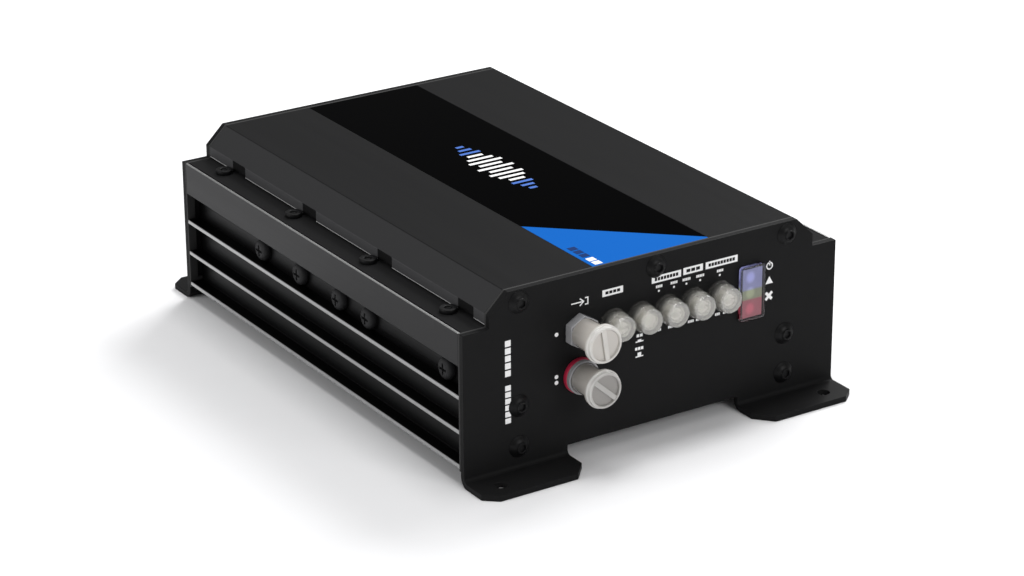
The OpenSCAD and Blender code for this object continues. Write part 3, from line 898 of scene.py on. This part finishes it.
class Lathe:
    """A round piece, drawn out of one cylinder along its own axis."""

    def __init__(self, name: str, foot: Sequence[float], along: Sequence[float], radius: float,
                 height: float, sides: int = 64, turn: float = 0.0) -> None:
        """Adds the cylinder and selects the face at its far end.

        Args:
            name: the piece's name.
            foot: the centre of the end that stays, in millimetres.
            along: the direction that the piece grows in.
            radius: the cylinder's radius.
            height: the cylinder's height.
            sides: how many sides it has.
            turn: how far it is turned about its own axis, in degrees.
        """
        self.axis = Vector(along).normalized()
        self.foot = Vector(foot) * MM
        self.tip = self.foot + self.axis * height * MM
        self.radius = self.foot_radius = radius
        spin = self.axis.to_track_quat("Z", "Y") @ Euler((0, 0, math.radians(turn))).to_quaternion()
        bpy.ops.object.select_all(action="DESELECT")
        bpy.ops.mesh.primitive_cylinder_add(
            vertices=sides, radius=radius * MM, depth=height * MM,
            location=(self.foot + self.tip) / 2, rotation=spin.to_euler())
        self.piece = new_piece(name)
        self.pick_end()

    def pick_end(self) -> None:
        """Selects the flat face at the tip."""
        bpy.ops.object.mode_set(mode="OBJECT")
        mesh = self.piece.data
        for part in (mesh.vertices, mesh.edges, mesh.polygons):
            part.foreach_set("select", [False] * len(part))
        for face in mesh.polygons:
            near = abs((face.center - self.tip).dot(self.axis)) < 0.001 * MM
            if near and face.normal.dot(self.axis) > 0.99 and len(face.vertices) > 4:
                face.select = True
        alone(self.piece)
        bpy.ops.object.mode_set(mode="EDIT")
        bpy.ops.mesh.select_mode(type="FACE")

    def step(self, height: float, radius: float) -> "Lathe":
        """Draws the selected end out by a height, and brings it to a radius.

        Args:
            height: how far along the axis, in millimetres; a negative one sinks it.
            radius: the radius at the new end.

        Returns:
            The same lathe, for the next step.
        """
        shift = self.axis * height * MM
        self.tip = self.tip + shift
        bpy.ops.mesh.extrude_region_move(TRANSFORM_OT_translate={"value": shift})
        size = radius / self.radius
        bpy.ops.transform.resize(value=(size, size, size), center_override=self.tip)
        self.radius = radius
        return self

    def profile(self, steps: Iterable[Point]) -> "Lathe":
        """Takes several steps, each a height and a radius.

        Args:
            steps: the height and radius of each step.

        Returns:
            The same lathe.
        """
        for height, radius in steps:
            self.step(height, radius)
        return self

    def turn_round(self) -> "Lathe":
        """Goes on from the other end, in the other direction."""
        self.foot, self.tip = self.tip, self.foot
        self.radius, self.foot_radius = self.foot_radius, self.radius
        self.axis = -self.axis
        self.pick_end()
        return self

    def pointing_up(self) -> bpy.types.Object:
        """Closes the piece and turns it about its axis so that one corner is on top."""
        piece = self.done()
        corner = piece.data.vertices[0].co - self.foot
        return moved(piece, about_y(self.foot / MM, -math.atan2(corner.x, corner.z)))

    def done(self, rounding: float = 0.0, steps: int = 2) -> bpy.types.Object:
        """Closes the piece and rounds its edges.

        Args:
            rounding: the size of the rounding, in millimetres.
            steps: how many faces make up a rounding.

        Returns:
            The finished mesh object.
        """
        bpy.ops.object.mode_set(mode="OBJECT")
        close_up(self.piece)
        if rounding:
            round_edges(self.piece, rounding, steps)
        return self.piece


# ---------------------------------------------------------------- sub-assemblies


@dataclass
class Casework:
    """The extrusions, cover, end plates and seals that make the box."""

    edge: float = 0.22
    plate_edge: float = 0.18
    seal_edge: float = 0.1
    strip_edge: float = 0.05
    ink_depth: float = 0.04
    corner: tuple[Point, Point] = ((-22.0, -90.0), (23.4, -49.0))

    def build(self) -> None:
        """Builds and finishes every piece of the case."""
        for side in ("left", "right"):
            remade(f"heatsink_{side}", f"side_extrusion_{side}", self.edge, Shop.SIDES)
        remade("top_cover", "cover_extrusion", self.edge, Shop.COVER)
        remade("bottom_plate", "bottom_sheet", self.edge, Shop.UNDERSIDE)
        for end in ("front", "rear"):
            remade(f"{end}_plate", f"{end}_end_plate", self.plate_edge, Shop.PLATE)
            remade(f"{end}_gasket", f"{end}_seal", self.seal_edge, Shop.SEAL)
        self.strip()

    def strip(self) -> None:
        """Builds the gloss strip, a print's thickness lower than the cover."""
        low, high = node_box("top_strip")
        high.z -= self.ink_depth
        piece = slab("gloss_strip", low, high, self.strip_edge)
        near, far = self.corner
        finish = StripPrint("gloss_strip_print", (0.0006, 0.0006, 0.0007), 0.12, low=near, high=far)
        deliver(piece, finish, nodes=["top_strip"])


@dataclass
class Fasteners:
    """Every screw that shows, each kind modelled once and copied."""

    head_r: float = 3.8
    head_h: float = 2.2
    head_rim_h: float = 0.3
    head_flat_r: float = 1.75
    dome_shares: tuple[float, ...] = (0.25, 0.42, 0.57, 0.7, 0.81, 0.9, 0.96, 1.0)
    m3_head_r: float = 2.9
    m3_head_h: float = 1.6
    key_r: float = 1.45
    key_depth: float = 0.8
    m4_r: float = 2.0
    m3_r: float = 1.5
    shank: float = 3.0
    pan_h: float = 2.6
    pan_rim_share: float = 0.35
    pan_shares: tuple[Point, ...] = ((0.3, 0.95), (0.2, 0.82), (0.15, 0.6))
    cross_arm: float = 2.0
    cross_half: float = 0.42
    mid_z: float = 23.5
    upper_drop: float = 0.2
    ledge_rows: int = 4
    device_rows: tuple[float, ...] = (-77.3, -29.3, -10.3, 15.7, 41.7)

    def with_shank(self, lathe: "Lathe", radius: float) -> bpy.types.Object:
        """Adds a short shank under a head, and closes it."""
        return lathe.turn_round().step(0, radius).step(self.shank, radius).done()

    def cut_key(self, head: bpy.types.Object, top: float) -> None:
        """Cuts the hexagon socket into a head that ends at z top."""
        foot, height = (0, 0, top - self.key_depth), 3
        cut(head, Lathe("key_cutter", foot, UP, self.key_r, height, sides=6).done())

    def button_head(self) -> bpy.types.Object:
        """Models a domed head with a hexagon socket, seated at z 0 and pointing up."""
        ball_r = (self.head_r**2 + self.head_h**2) / (2 * self.head_h)
        lathe = Lathe("button_head", ORIGIN, UP, self.head_r, self.head_rim_h)
        risen = self.head_rim_h
        for share in self.dome_shares:
            height = self.head_h * share
            radius = math.sqrt(max(0.0, ball_r**2 - (height + ball_r - self.head_h) ** 2))
            lathe.step(height - risen, max(radius, self.head_flat_r))
            risen = height
        head = self.with_shank(lathe, self.m4_r)
        self.cut_key(head, self.head_h)
        round_edges(head, 0.09)
        return head

    def socket_head(self) -> bpy.types.Object:
        """Models a cylindrical M3 head with a hexagon socket, seated at z 0."""
        head = self.with_shank(Lathe("socket_head", ORIGIN, UP, self.m3_head_r, self.m3_head_h), self.m3_r)
        self.cut_key(head, self.m3_head_h)
        round_edges(head, 0.3, 3)
        return head

    def pan_head(self) -> bpy.types.Object:
        """Models a low domed head with a cross recess, seated at z 0."""
        lathe = Lathe("pan_head", ORIGIN, UP, self.head_r, self.pan_h * self.pan_rim_share)
        lathe.profile([(self.pan_h * rise, self.head_r * width) for rise, width in self.pan_shares])
        head = self.with_shank(lathe, self.m3_r)
        for x, y in ((self.cross_arm, self.cross_half), (self.cross_half, self.cross_arm)):
            cut(head, slab("cross_cutter", (-x, -y, self.pan_h - 1), (x, y, self.pan_h + 1)))
        round_edges(head, 0.1)
        return head

    def spread(self, node: str, head: bpy.types.Object, seats: Iterable[Seat],
               finish: Shop = Shop.BLACK_OXIDE) -> None:
        """Copies a head to every seat, and lets the copies stand for a CAD node.

        Args:
            node: the CAD node with these screws.
            head: the head, seated at the origin and pointing up.
            seats: where each head sits, in millimetres, and the direction that it points in.
            finish: their finish.
        """
        copies = [copied(head, "head", aimed(place, along)) for place, along in seats]
        deliver(joined(f"{node}_set", copies), finish, nodes=[node])

    def build(self) -> None:
        """Models the heads and spreads them over the case."""
        button, socket, pan = self.button_head(), self.socket_head(), self.pan_head()
        low, high = node_box("front_panel_screws")
        crown, foot, wide = high.z - self.head_r, low.z + self.head_r, high.x - self.head_r
        places = [(0, crown)]
        places += [(x, z) for x in (-wide, wide) for z in (crown - self.upper_drop, self.mid_z, foot)]
        face = low.y + self.head_h
        for end, side in (("front", -1), ("rear", 1)):
            seats = [((x, -side * face, z), (0, side, 0)) for x, z in places]
            self.spread(f"{end}_panel_screws", button, seats)
        low, high = node_box("cover_screws")
        ledge, across = high.z - self.m3_head_h, high.x - self.m3_head_r
        first, last = low.y + self.m3_head_r, high.y - self.m3_head_r
        rows = [first + (last - first) * row / (self.ledge_rows - 1) for row in range(self.ledge_rows)]
        self.spread("cover_screws", socket, [((x, y, ledge), UP) for x in (-across, across) for y in rows])
        low, high = node_box("device_screws")
        seat, middle = high.x - self.pan_h, (low.z + high.z) / 2
        seats = [((side * seat, y, middle), (side, 0, 0)) for side in (-1, 1) for y in self.device_rows]
        self.spread("device_screws", pan, seats, Shop.DULL_OXIDE)
        for head in (button, socket, pan):
            bpy.data.objects.remove(head)
        dress(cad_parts["board_screws"], Shop.ZINC)
        dress(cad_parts["bottom_screws"], Shop.BLACK_OXIDE)


@dataclass
class OnPanel:
    """Parts that stand out of the front panel."""

    def seat(self, node: str, out: float = 0.0) -> Vector:
        """Returns the point at a distance out of the panel, in line with a node."""
        middle = node_centre(node)
        return Vector((middle.x, panel_face() - out, middle.z))


@dataclass
class Jacks(OnPanel):
    """The two phono jacks with their nuts, washer and soft dust caps."""

    barrel_r: float = 4.15
    bore_r: float = 3.5
    barrel_in: float = 6.0
    barrel_out: float = 9.5
    barrel_floor: float = 1.0
    play: float = 0.03
    nut_r: float = 5.9
    nut_t: float = 3.3
    recess_r: float = 5.05
    recess: float = 0.9
    washer_r: float = 5.95
    washer_t: float = 1.6
    ring_nut_r: float = 5.75
    cap_start: float = 2.7
    cap_r: float = 4.95
    cap_bore_end: float = 10.0
    shoulder_r: float = 5.5
    flange_r: float = 6.5
    face_r: float = 6.05
    face_rim: float = 0.85
    head_t: float = 2.8
    web_w: float = 1.7
    silicone: Colour = (0.74, 0.7, 0.65)

    def build(self) -> None:
        """Builds both jacks."""
        self.nuts()
        self.barrels()
        for side, angle, tone, face_tone in (("left", 99.0, 0.0, -0.06), ("right", -42.0, -0.15, -0.5)):
            self.cap(side, angle, tone, face_tone)
        dress(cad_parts["input_jack_block"], Shop.MOULDING)
        dress(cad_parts["jack_contacts"], Shop.GOLD)

    def nuts(self) -> None:
        """Builds the pale hexagon nut, the red washer and the round nut on it."""
        bore = self.barrel_r + self.play
        hexagon = Lathe("jack_nut_hexagon", self.seat("jack_nut_left"), FRONT, self.nut_r, self.nut_t, 6)
        hexagon.profile([(0, self.recess_r), (-self.recess, self.recess_r), (0, bore),
                         (self.recess - self.nut_t, bore)])
        deliver(hexagon.done(0.22, 3), Shop.PALE_NUT, nodes=["jack_nut_left"])
        seat = self.seat("jack_washer_right")
        washer = Lathe("jack_washer_red", seat, FRONT, self.washer_r, self.washer_t)
        washer.profile([(0, bore), (-self.washer_t, bore)])
        deliver(washer.done(0.2), Shop.RED, nodes=["jack_washer_right"])
        rise = self.nut_t - self.washer_t
        seat = self.seat("jack_nut_right", self.washer_t)
        ring = Lathe("jack_nut_round", seat, FRONT, self.ring_nut_r, rise)
        ring.profile([(0, self.recess_r), (-self.recess, self.recess_r), (0, bore),
                      (self.recess - rise, bore)])
        deliver(ring.done(0.2), Shop.PALE_NUT, nodes=["jack_nut_right"])

    def barrels(self) -> None:
        """Builds the plated barrels that the caps sit on."""
        pair = []
        for node in ("jack_cap_left", "jack_cap_right"):
            length = self.barrel_in + self.barrel_out
            barrel = Lathe("barrel", self.seat(node, -self.barrel_in), FRONT, self.barrel_r, length)
            barrel.step(0, self.bore_r).step(self.barrel_floor - length, self.bore_r)
            pair.append(barrel.done(0.15))
        deliver(joined("jack_barrel_pair", pair), Shop.NICKEL, nodes=["jack_barrels"])

    def cap(self, side: str, angle: float, tone: float, face_tone: float) -> None:
        """Builds a soft cap: barrel, grooved flange and a grip face crossed by a web.

        Args:
            side: which jack it is on.
            angle: how far its web is turned, in degrees.
            tone: how much lighter or darker its silicone is.
            face_tone: how much lighter or darker its face is than the rest.
        """
        node = f"jack_cap_{side}"
        cap_out = panel_face() - node_box(node)[0].y
        head = cap_out - self.head_t
        lathe = Lathe(f"dust_cap_{side}", self.seat(node, self.cap_start), FRONT, self.cap_r,
                      head - 0.7 - self.cap_start)
        recess_r, bore = self.face_r - self.face_rim, self.barrel_r + self.play
        lathe.profile([(0.2, self.shoulder_r), (0.5, self.shoulder_r), (0.2, self.flange_r),
                       (1.1, self.flange_r), (0.2, self.face_r + 0.2), (0, self.face_r), (1.0, self.face_r),
                       (0.3, self.face_r - 0.3), (0, recess_r), (-0.8, recess_r - 0.2)])
        lathe.turn_round().step(0, bore).step(self.cap_start - self.cap_bore_end, bore)
        cap = lathe.done(0.12, 3)
        half = self.web_w / 2
        web = slab("web", (-recess_r, 0.06, -half), (recess_r, 1.2, half), 0.2)
        moved(web, at(self.seat(node, cap_out)) @ Matrix.Rotation(math.radians(-angle), 4, "Y"))
        middle = node_centre(node)
        look = Silicone(f"cloudy_silicone_{side}", Finish("", self.silicone, 0).shade(tone), 0.16,
                        middle=(middle.x, middle.z), root_y=panel_face() - self.cap_start,
                        reach=cap_out - self.cap_start, rim_r=self.face_r, clearness=0.35, root=0.9,
                        body=0.97, face_tone=face_tone, ridges=(0.72,))
        deliver(joined(f"dust_cap_{side}", [cap, web]), look, node, [node])


@dataclass
class Controls(OnPanel):
    """Four rotary controls and a push switch, each under a soft cover."""

    rotary: tuple[str, ...] = ("gain", "subsonic", "lowpass", "bass")
    shaft_r: float = 2.0
    shaft_out: float = 5.0
    shaft_in: float = 8.0
    slot_half: float = 0.4
    slot_depth: float = 1.2
    button_r: float = 2.4
    button_in: float = 6.0
    button_play: float = 0.5
    flange_r: float = 5.0
    flange_t: float = 0.85
    gap: float = 0.05
    cover_out: float = 7.3
    cover_root: float = 0.2
    cover_steps: tuple[Point, ...] = ((0.2, 4.7), (2.5, 4.6), (0.2, 4.4), (2.4, 4.3), (0.5, 4.22),
                                      (0.35, 4.0), (0.15, 3.7), (-0.12, 3.3), (-0.06, 2.2))
    bush_r: float = 3.53
    bush_out: float = 2.9
    silicone: Colour = (0.86, 0.84, 0.77)

    def build(self) -> None:
        """Builds the shafts, the button and the covers."""
        shaft, cover = self.shaft(), self.cover()
        for name in self.rotary:
            node = f"{name}_shaft"
            piece = copied(shaft, f"{name}_spindle", at(self.seat(node)))
            deliver(piece, Shop.WHITE, node, [node])
        for name in (*self.rotary, "switch"):
            node = f"{name}_cover"
            piece = copied(cover, f"{name}_soft_cover", at(self.seat(node)))
            middle = node_centre(node)
            look = Silicone(f"cover_silicone_{name}", self.silicone, 0.1, middle=(middle.x, middle.z),
                            root_y=panel_face() - self.cover_root, reach=self.cover_out - self.cover_root,
                            rim_r=4.1, clearness=0.7, root=0.12, body=0.88, ridges=(0.42, 0.55, 0.82))
            deliver(piece, look, node, [node])
        bpy.data.objects.remove(shaft)
        bpy.data.objects.remove(cover)
        node, length = "switch_button", self.button_in + self.shaft_out
        button = Lathe("bypass_button", self.seat(node, -self.button_in), FRONT, self.button_r, length)
        deliver(button.done(0.4, 3), Shop.WHITE, node, [node])
        for node in ("potentiometers", "switch_body"):
            remade(node, f"{node}_moulding", 0.15, Shop.MOULDING)

    def shaft(self) -> bpy.types.Object:
        """Models a slotted spindle whose panel is at y 0."""
        length = self.shaft_in + self.shaft_out
        piece = Lathe("spindle", (0, self.shaft_in, 0), FRONT, self.shaft_r, length).done()
        wide, half, floor = self.shaft_r + 1, self.slot_half, self.slot_depth - self.shaft_out
        cut(piece, slab("slot", (-wide, -self.shaft_out - 1, -half), (wide, floor, half)))
        round_edges(piece, 0.18)
        return piece

    def cover(self) -> bpy.types.Object:
        """Models a hollow cover: flange, stepped barrel and rounded front."""
        lathe = Lathe("soft_cover", (0, -self.gap, 0), FRONT, self.flange_r, self.flange_t)
        inner = self.button_r + self.button_play
        lathe.profile(self.cover_steps)
        lathe.turn_round().step(0, self.bush_r).step(self.gap - self.bush_out, self.bush_r)
        lathe.step(0, inner).step(self.bush_out - self.shaft_out - 0.6, inner)
        return lathe.done(0.12, 2)


@dataclass
class StatusWindow:
    """The clear window over three status lights, and the lights."""

    proud: float = 1.6
    wall: float = 0.6
    inset: float = 1.0
    glow_left: float = 0.8
    tints: tuple[Colour, Colour, Colour] = ((0.42, 0.05, 0.09), (0.27, 0.3, 0.17), (0.3, 0.31, 0.62))

    def build(self) -> None:
        """Builds the window, the glowing diffuser behind it and the lights."""
        remade("status_window", "status_window_moulding", 0.18, Shop.WINDOW)
        middle = node_centre("status_window")
        low, high = node_box("status_window")
        front = panel_face() - self.proud + self.wall
        near = (low.x + self.inset, front, low.z + self.inset)
        far = (high.x - self.inset, front + self.wall, high.z - self.inset)
        glow = StatusGlow("status_glow", (0.3, 0.3, 0.3), 0.4, zones=self.tints,
                          centre=(middle.x - self.glow_left, middle.z), strength=0.7)
        deliver(slab("status_diffuser", near, far, 0.1), glow)
        dress(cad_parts["status_leds"], Shop.LENS)


@dataclass
class Terminals:
    """The rear terminal block: moulding, bars, captive screws and rising clamps."""

    count: int = 5
    screw_r: float = 2.48
    head_r: float = 3.8
    head_h: float = 2.6
    thread_pitch: float = 0.8
    thread_depth: float = 0.3
    slot_half: float = 0.6
    slot_depth: float = 1.35

    def build(self) -> None:
        """Builds the block and copies the screw and clamp to each place."""
        remade("terminal_block", "terminal_moulding", 0.25, Shop.MOULDING)
        remade("terminal_bars", "terminal_bars_tinned", 0.15, Shop.TINNED)
        screw = self.screw()
        for number in range(1, self.count + 1):
            node = f"terminal_screw_{number}"
            middle = node_centre(node)
            piece = copied(screw, f"captive_screw_{number}", at((middle.x, middle.y, node_box(node)[1].z)))
            deliver(piece, Shop.NICKEL, node, [node])
            node = f"wire_clamp_{number}"
            remade(node, f"rising_clamp_{number}", 0.2, Shop.BRASS, node)
        bpy.data.objects.remove(screw)

    def screw(self) -> bpy.types.Object:
        """Models a slotted captive screw with a threaded shank, its top at z 0."""
        low, high = node_box("terminal_screw_1")
        lathe = Lathe("captive_screw", (0, 0, -self.head_h), UP, self.head_r, self.head_h)
        lathe.turn_round().step(0, self.screw_r)
        length = high.z - low.z - self.head_h
        half_turn, root_r = self.thread_pitch / 2, self.screw_r - self.thread_depth
        for _ in range(int(length / self.thread_pitch)):
            lathe.step(half_turn, root_r).step(half_turn, self.screw_r)
        piece = lathe.done()
        wide = self.head_r + 1
        cut(piece, slab("slot", (-wide, -self.slot_half, -self.slot_depth), (wide, self.slot_half, 1)))
        round_edges(piece, 0.12)
        return piece


@dataclass
class Electronics:
    """The boards, power parts and windings inside the case."""

    looks: tuple[tuple[str, Shop], ...] = (
        ("main_board", Shop.BOARD), ("control_board", Shop.BOARD), ("board_link", Shop.MOULDING),
        ("clamp_bars", Shop.ZINC), ("thermal_pads", Shop.PAD), ("power_transistors", Shop.MOULDING),
        ("transformer_core", Shop.FERRITE), ("choke_cores", Shop.FERRITE), ("supply_capacitors", Shop.SLEEVE))
    enamel: Colour = (0.6, 0.22, 0.08)
    choke_back: float = 17.0

    def build(self) -> None:
        """Dresses the nodes inside the case."""
        for node, finish in self.looks:
            dress(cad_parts[node], finish)
        transformer = node_centre("transformer_winding")
        wound = Wound("transformer_wire", self.enamel, 0.3, (transformer.x, transformer.y), 72)
        dress(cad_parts["transformer_winding"], wound)
        chokes = node_centre("choke_windings")
        wound = Wound("choke_wire", self.enamel, 0.3, (chokes.x, chokes.y - self.choke_back), 44)
        dress(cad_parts["choke_windings"], wound)


@dataclass
class Markings:
    """Plain bars and signs in the places of the printed marks."""

    film: float = 0.04
    plates: tuple[tuple[float, float, float, float, int], ...] = (
        (-20.6, -12.7, 53.0, 55.3, 4), (-1.6, 9.8, 53.2, 55.6, 8), (10.7, 18.4, 53.4, 55.8, 3),
        (19.5, 32.2, 53.4, 55.8, 9))
    blocks: tuple[tuple[float, float, float, float, int], ...] = (
        (0.0, 2.6, 51.3, 52.2, 4), (5.7, 8.5, 51.3, 52.2, 4), (10.4, 13.6, 51.3, 52.2, 5),
        (15.8, 19.0, 51.3, 52.2, 5), (24.0, 26.6, 51.3, 52.2, 4),
        (-7.4, -4.8, 36.0, 37.0, 2), (-7.9, -4.5, 31.5, 32.5, 3),
        (-0.3, 2.3, 36.2, 37.1, 4), (5.0, 7.6, 36.2, 37.1, 4), (12.8, 15.2, 36.2, 37.1, 4),
        (16.0, 18.4, 36.2, 37.1, 4), (23.6, 25.6, 36.2, 37.1, 3), (26.8, 28.8, 36.2, 37.1, 3))
    plate_rim: Point = (1.0, 0.65)
    dots_x: tuple[float, ...] = (1.2, 7.1, 12.0, 17.4, 25.2)
    dots_z: float = 50.2
    dot_r: float = 0.38
    column_x: Point = (-57.1, -55.0)
    switch_x: float = -6.1
    line: float = 0.4
    signs_x: float = 45.3
    power_z: float = 48.9
    warning_z: float = 43.5
    fault_z: float = 38.3
    input_z: float = 53.3
    side_dots: tuple[Point, ...] = ((-37.9, 44.3), (-37.9, 29.8), (-37.9, 27.8))
    emblem: Point = (0.5, 2.2)
    wave_pitch: float = 3.3
    wave_w: float = 1.5
    wave_ends: int = 3
    waves: tuple[float, ...] = (3, 5, 8, 6, 10, 13, 9, 14, 9, 13, 10, 6, 8, 5, 3)
    corner_x: Point = (-20.8, -17.9)

    def build(self) -> None:
        """Prints the panel and the strip."""
        marks = [self.block(x0, x1, z0, z1) for low, high, z0, z1, count in self.blocks
                 for x0, x1 in self.split(low, high, count)]
        marks += [self.block(x0, x1, z0, z1) for x0, x1, z0, z1, _ in self.plates]
        marks += [self.dot(x, self.dots_z, self.dot_r) for x in self.dots_x]
        marks += self.columns() + self.switch_signs() + self.status_signs()
        marks += [self.dot(x, z, 0.7) for x, z in self.side_dots] + self.input_sign()
        deliver(joined("panel_marks", marks), Shop.INK)
        side, edge = self.plate_rim
        inner = [self.block(x0, x1, z0 + edge, z1 - edge, 1.5) for low, high, z0, z1, count in self.plates
                 for x0, x1 in self.split(low + side, high - side, count)]
        deliver(joined("plate_marks", inner), Shop.PLATE)
        self.sound_wave()
        self.corner_marks()

    def split(self, low: float, high: float, count: int) -> list[Point]:
        """Returns the ends of evenly spaced blocks with narrow gaps between them.

        Args:
            low: where the row starts.
            high: where it ends.
            count: how many blocks it has.

        Returns:
            Each block's two ends.
        """
        pitch = (high - low) / count
        gap = pitch * 0.2
        return [(low + pitch * k + gap / 2, low + pitch * (k + 1) - gap / 2) for k in range(count)]

    def block(self, x0: float, x1: float, z0: float, z1: float, films: float = 1.0) -> bpy.types.Object:
        """Prints one block on the panel.

        Args:
            x0: its left edge.
            x1: its right edge.
            z0: its lower edge.
            z1: its upper edge.
            films: how many films of ink thick it is, so that crossing blocks don't share a face.

        Returns:
            The block.
        """
        face = panel_face()
        return slab("mark", (x0, face - self.film * films, z0), (x1, face, z1))

    def dot(self, x: float, z: float, radius: float) -> bpy.types.Object:
        """Prints one dot on the panel."""
        return Lathe("mark", (x, panel_face(), z), FRONT, radius, self.film, 24).done()

    def ring(self, x: float, z: float, radius: float, width: float) -> bpy.types.Object:
        """Prints one ring on the panel."""
        half = self.film / 2
        lathe = Lathe("mark", (x, panel_face() - half, z), FRONT, radius, half, 40)
        return lathe.step(0, radius - width).step(-half, radius - width).done()

    def turned(self, mark: bpy.types.Object, x: float, z: float, angle: float) -> bpy.types.Object:
        """Turns a mark in the panel's plane about a point."""
        return moved(mark, about_y((x, 0, z), math.radians(angle)))

    def columns(self) -> list[bpy.types.Object]:
        """Prints two groups of blocks that run down the left of the panel."""
        return [self.block(*self.column_x, z0, z1) for top, low, count in ((46.9, 34.2, 5), (31.6, 18.1, 6))
                for z0, z1 in self.split(low, top, count)]

    def switch_signs(self) -> list[bpy.types.Object]:
        """Prints the signs for the pressed and the released button."""
        made, x = [], self.switch_x
        for z, rise in ((34.2, 0.5), (29.0, 1.2)):
            top = z + self.line
            made += [self.block(x - 1.5, x + 1.5, z, top), self.block(x - 0.7, x + 0.7, top, top + rise)]
        return made

    def status_signs(self) -> list[bpy.types.Object]:
        """Prints the power, warning and fault signs beside the window."""
        x, up, low = self.signs_x, self.power_z, self.fault_z
        power = [self.ring(x, up, 1.35, 0.42), self.block(x - 0.21, x + 0.21, up, up + 1.7)]
        corner = Lathe("mark", (x, panel_face(), self.warning_z), FRONT, 1.75, self.film, 3)
        warning = corner.pointing_up()
        fault = [self.turned(self.block(x - 1.8, x + 1.8, low - 0.5, low + 0.5, films), x, low, angle)
                 for angle, films in ((45, 1.0), (-45, 1.2))]
        return power + [warning] + fault

    def input_sign(self) -> list[bpy.types.Object]:
        """Prints an arrow that points into a bracket."""
        z, line, half, reach = self.input_z, self.line, self.line / 2, 1.3
        head = [self.turned(self.block(-29.6, -27.6, z - half, z + half, films), -27.7, z, angle)
                for angle, films in ((40, 1.1), (-40, 1.2))]
        shaft = self.block(-32.4, -27.8, z - half, z + half)
        back = self.block(-25.9 - line, -25.9, z - reach, z + reach)
        arms = [self.block(-27.2, -25.9, low, low + line, 1.1) for low in (z - reach, z + reach - line)]
        return [*head, shaft, back, *arms]

    def bar(self, x: Point, y: Point) -> bpy.types.Object:
        """Prints one bar on the strip, between two values of x and of y."""
        top = node_box("top_strip")[1].z
        return slab("bar", (x[0], y[0], top - self.film), (x[1], y[1], top))

    def sound_wave(self) -> None:
        """Prints a sound wave in the middle of the strip, with its ends in a second ink."""
        bars, ends = [], self.wave_ends
        x, half = self.emblem[0], self.wave_w / 2
        for step, length in enumerate(self.waves):
            y = self.emblem[1] + (step - (len(self.waves) - 1) / 2) * self.wave_pitch
            bars.append(self.bar((x - length / 2, x + length / 2), (y - half, y + half)))
        deliver(joined("emblem_ends", bars[:ends] + bars[-ends:]), Shop.BLUE_INK)
        deliver(joined("emblem_middle", bars[ends:-ends]), Shop.INK)

    def corner_marks(self) -> None:
        """Prints a row of plain blocks on the coloured corner of the strip."""
        rows = (("dark", Shop.NAVY_INK, -82.3, -72.4, 3), ("pale", Shop.INK, -89.4, -82.9, 2))
        for tone, ink, low, high, count in rows:
            bars = [self.bar(self.corner_x, ends) for ends in self.split(low, high, count)]
            deliver(joined(f"corner_marks_{tone}", bars), ink)


@dataclass
class Studio:
    """A pale floor, soft lights and the camera."""

    lens: float = 114.03
    place: tuple[float, float, float] = (-554.04, -868.25, 447.7)
    heading: float = -32.794
    tilt: float = 67.413
    roll: float = -0.273
    aim: tuple[float, float, float] = (0.0, 0.0, 0.03)
    air: float = 0.3

    def camera(self) -> None:
        """Adds the camera."""
        made = bpy.data.objects.new("camera", bpy.data.cameras.new("camera"))
        made.data.lens = self.lens
        made.data.clip_start = 0.01
        turns = [Matrix.Rotation(math.radians(angle), 4, axis)
                 for angle, axis in ((self.heading, "Z"), (self.tilt, "X"), (self.roll, "Z"))]
        made.matrix_world = at(self.place) @ turns[0] @ turns[1] @ turns[2]
        bpy.context.collection.objects.link(made)
        bpy.context.scene.camera = made

    def floor(self) -> None:
        """Lays the floor."""
        bpy.ops.object.select_all(action="DESELECT")
        bpy.ops.mesh.primitive_plane_add(size=8, location=(0, 0, 0))
        plane = new_piece("studio_floor")
        dress(plane, Coating("studio_paper", (0.86, 0.86, 0.87), 0.85, grain=1.0, depth=0.002, mottle=0.01))

    def lamp(self, name: str, spot: Sequence[float], size: tuple[float, float], power: float) -> None:
        """Adds one soft box that faces the amplifier.

        Args:
            name: its name.
            spot: where it hangs, in metres.
            size: its width and height, in metres.
            power: its power, in watts.
        """
        light = bpy.data.lights.new(name, "AREA")
        light.shape = "RECTANGLE"
        light.size, light.size_y = size
        light.energy = power
        made = bpy.data.objects.new(name, light)
        made.location = spot
        made.rotation_euler = (Vector(self.aim) - Vector(spot)).to_track_quat("-Z", "Y").to_euler()
        bpy.context.collection.objects.link(made)

    def world(self) -> None:
        """Fills the room with even light."""
        world = bpy.data.worlds.new("studio_air")
        world.use_nodes = True
        background = world.node_tree.nodes["Background"]
        background.inputs["Color"].default_value = (1, 1, 1, 1)
        background.inputs["Strength"].default_value = self.air
        bpy.context.scene.world = world
        bpy.context.scene.view_settings.view_transform = "Standard"

    def build(self) -> None:
        """Sets the stage."""
        self.camera()
        self.world()
        self.floor()
        self.lamp("overhead_softbox", (0.0, 0.1, 1.7), (0.9, 0.5), 12)
        self.lamp("key_softbox", (1.35, 0.65, 1.3), (1.1, 0.9), 34)
        self.lamp("left_softbox", (-1.6, 0.2, 0.6), (1.0, 0.8), 11)
        self.lamp("front_softbox", (0.3, -1.5, 0.8), (0.9, 0.6), 9)


def main() -> None:
    """Builds the amplifier, one sub-assembly after another."""
    logging.basicConfig(level=logging.INFO, format="%(name)s %(message)s")
    for part in (Studio(), Casework(), Fasteners(), Jacks(), Controls(), StatusWindow(), Terminals(),
                 Electronics(), Markings()):
        LOG.info("building the %s", type(part).__name__)
        part.build()


if __name__ == "__main__":
    main()
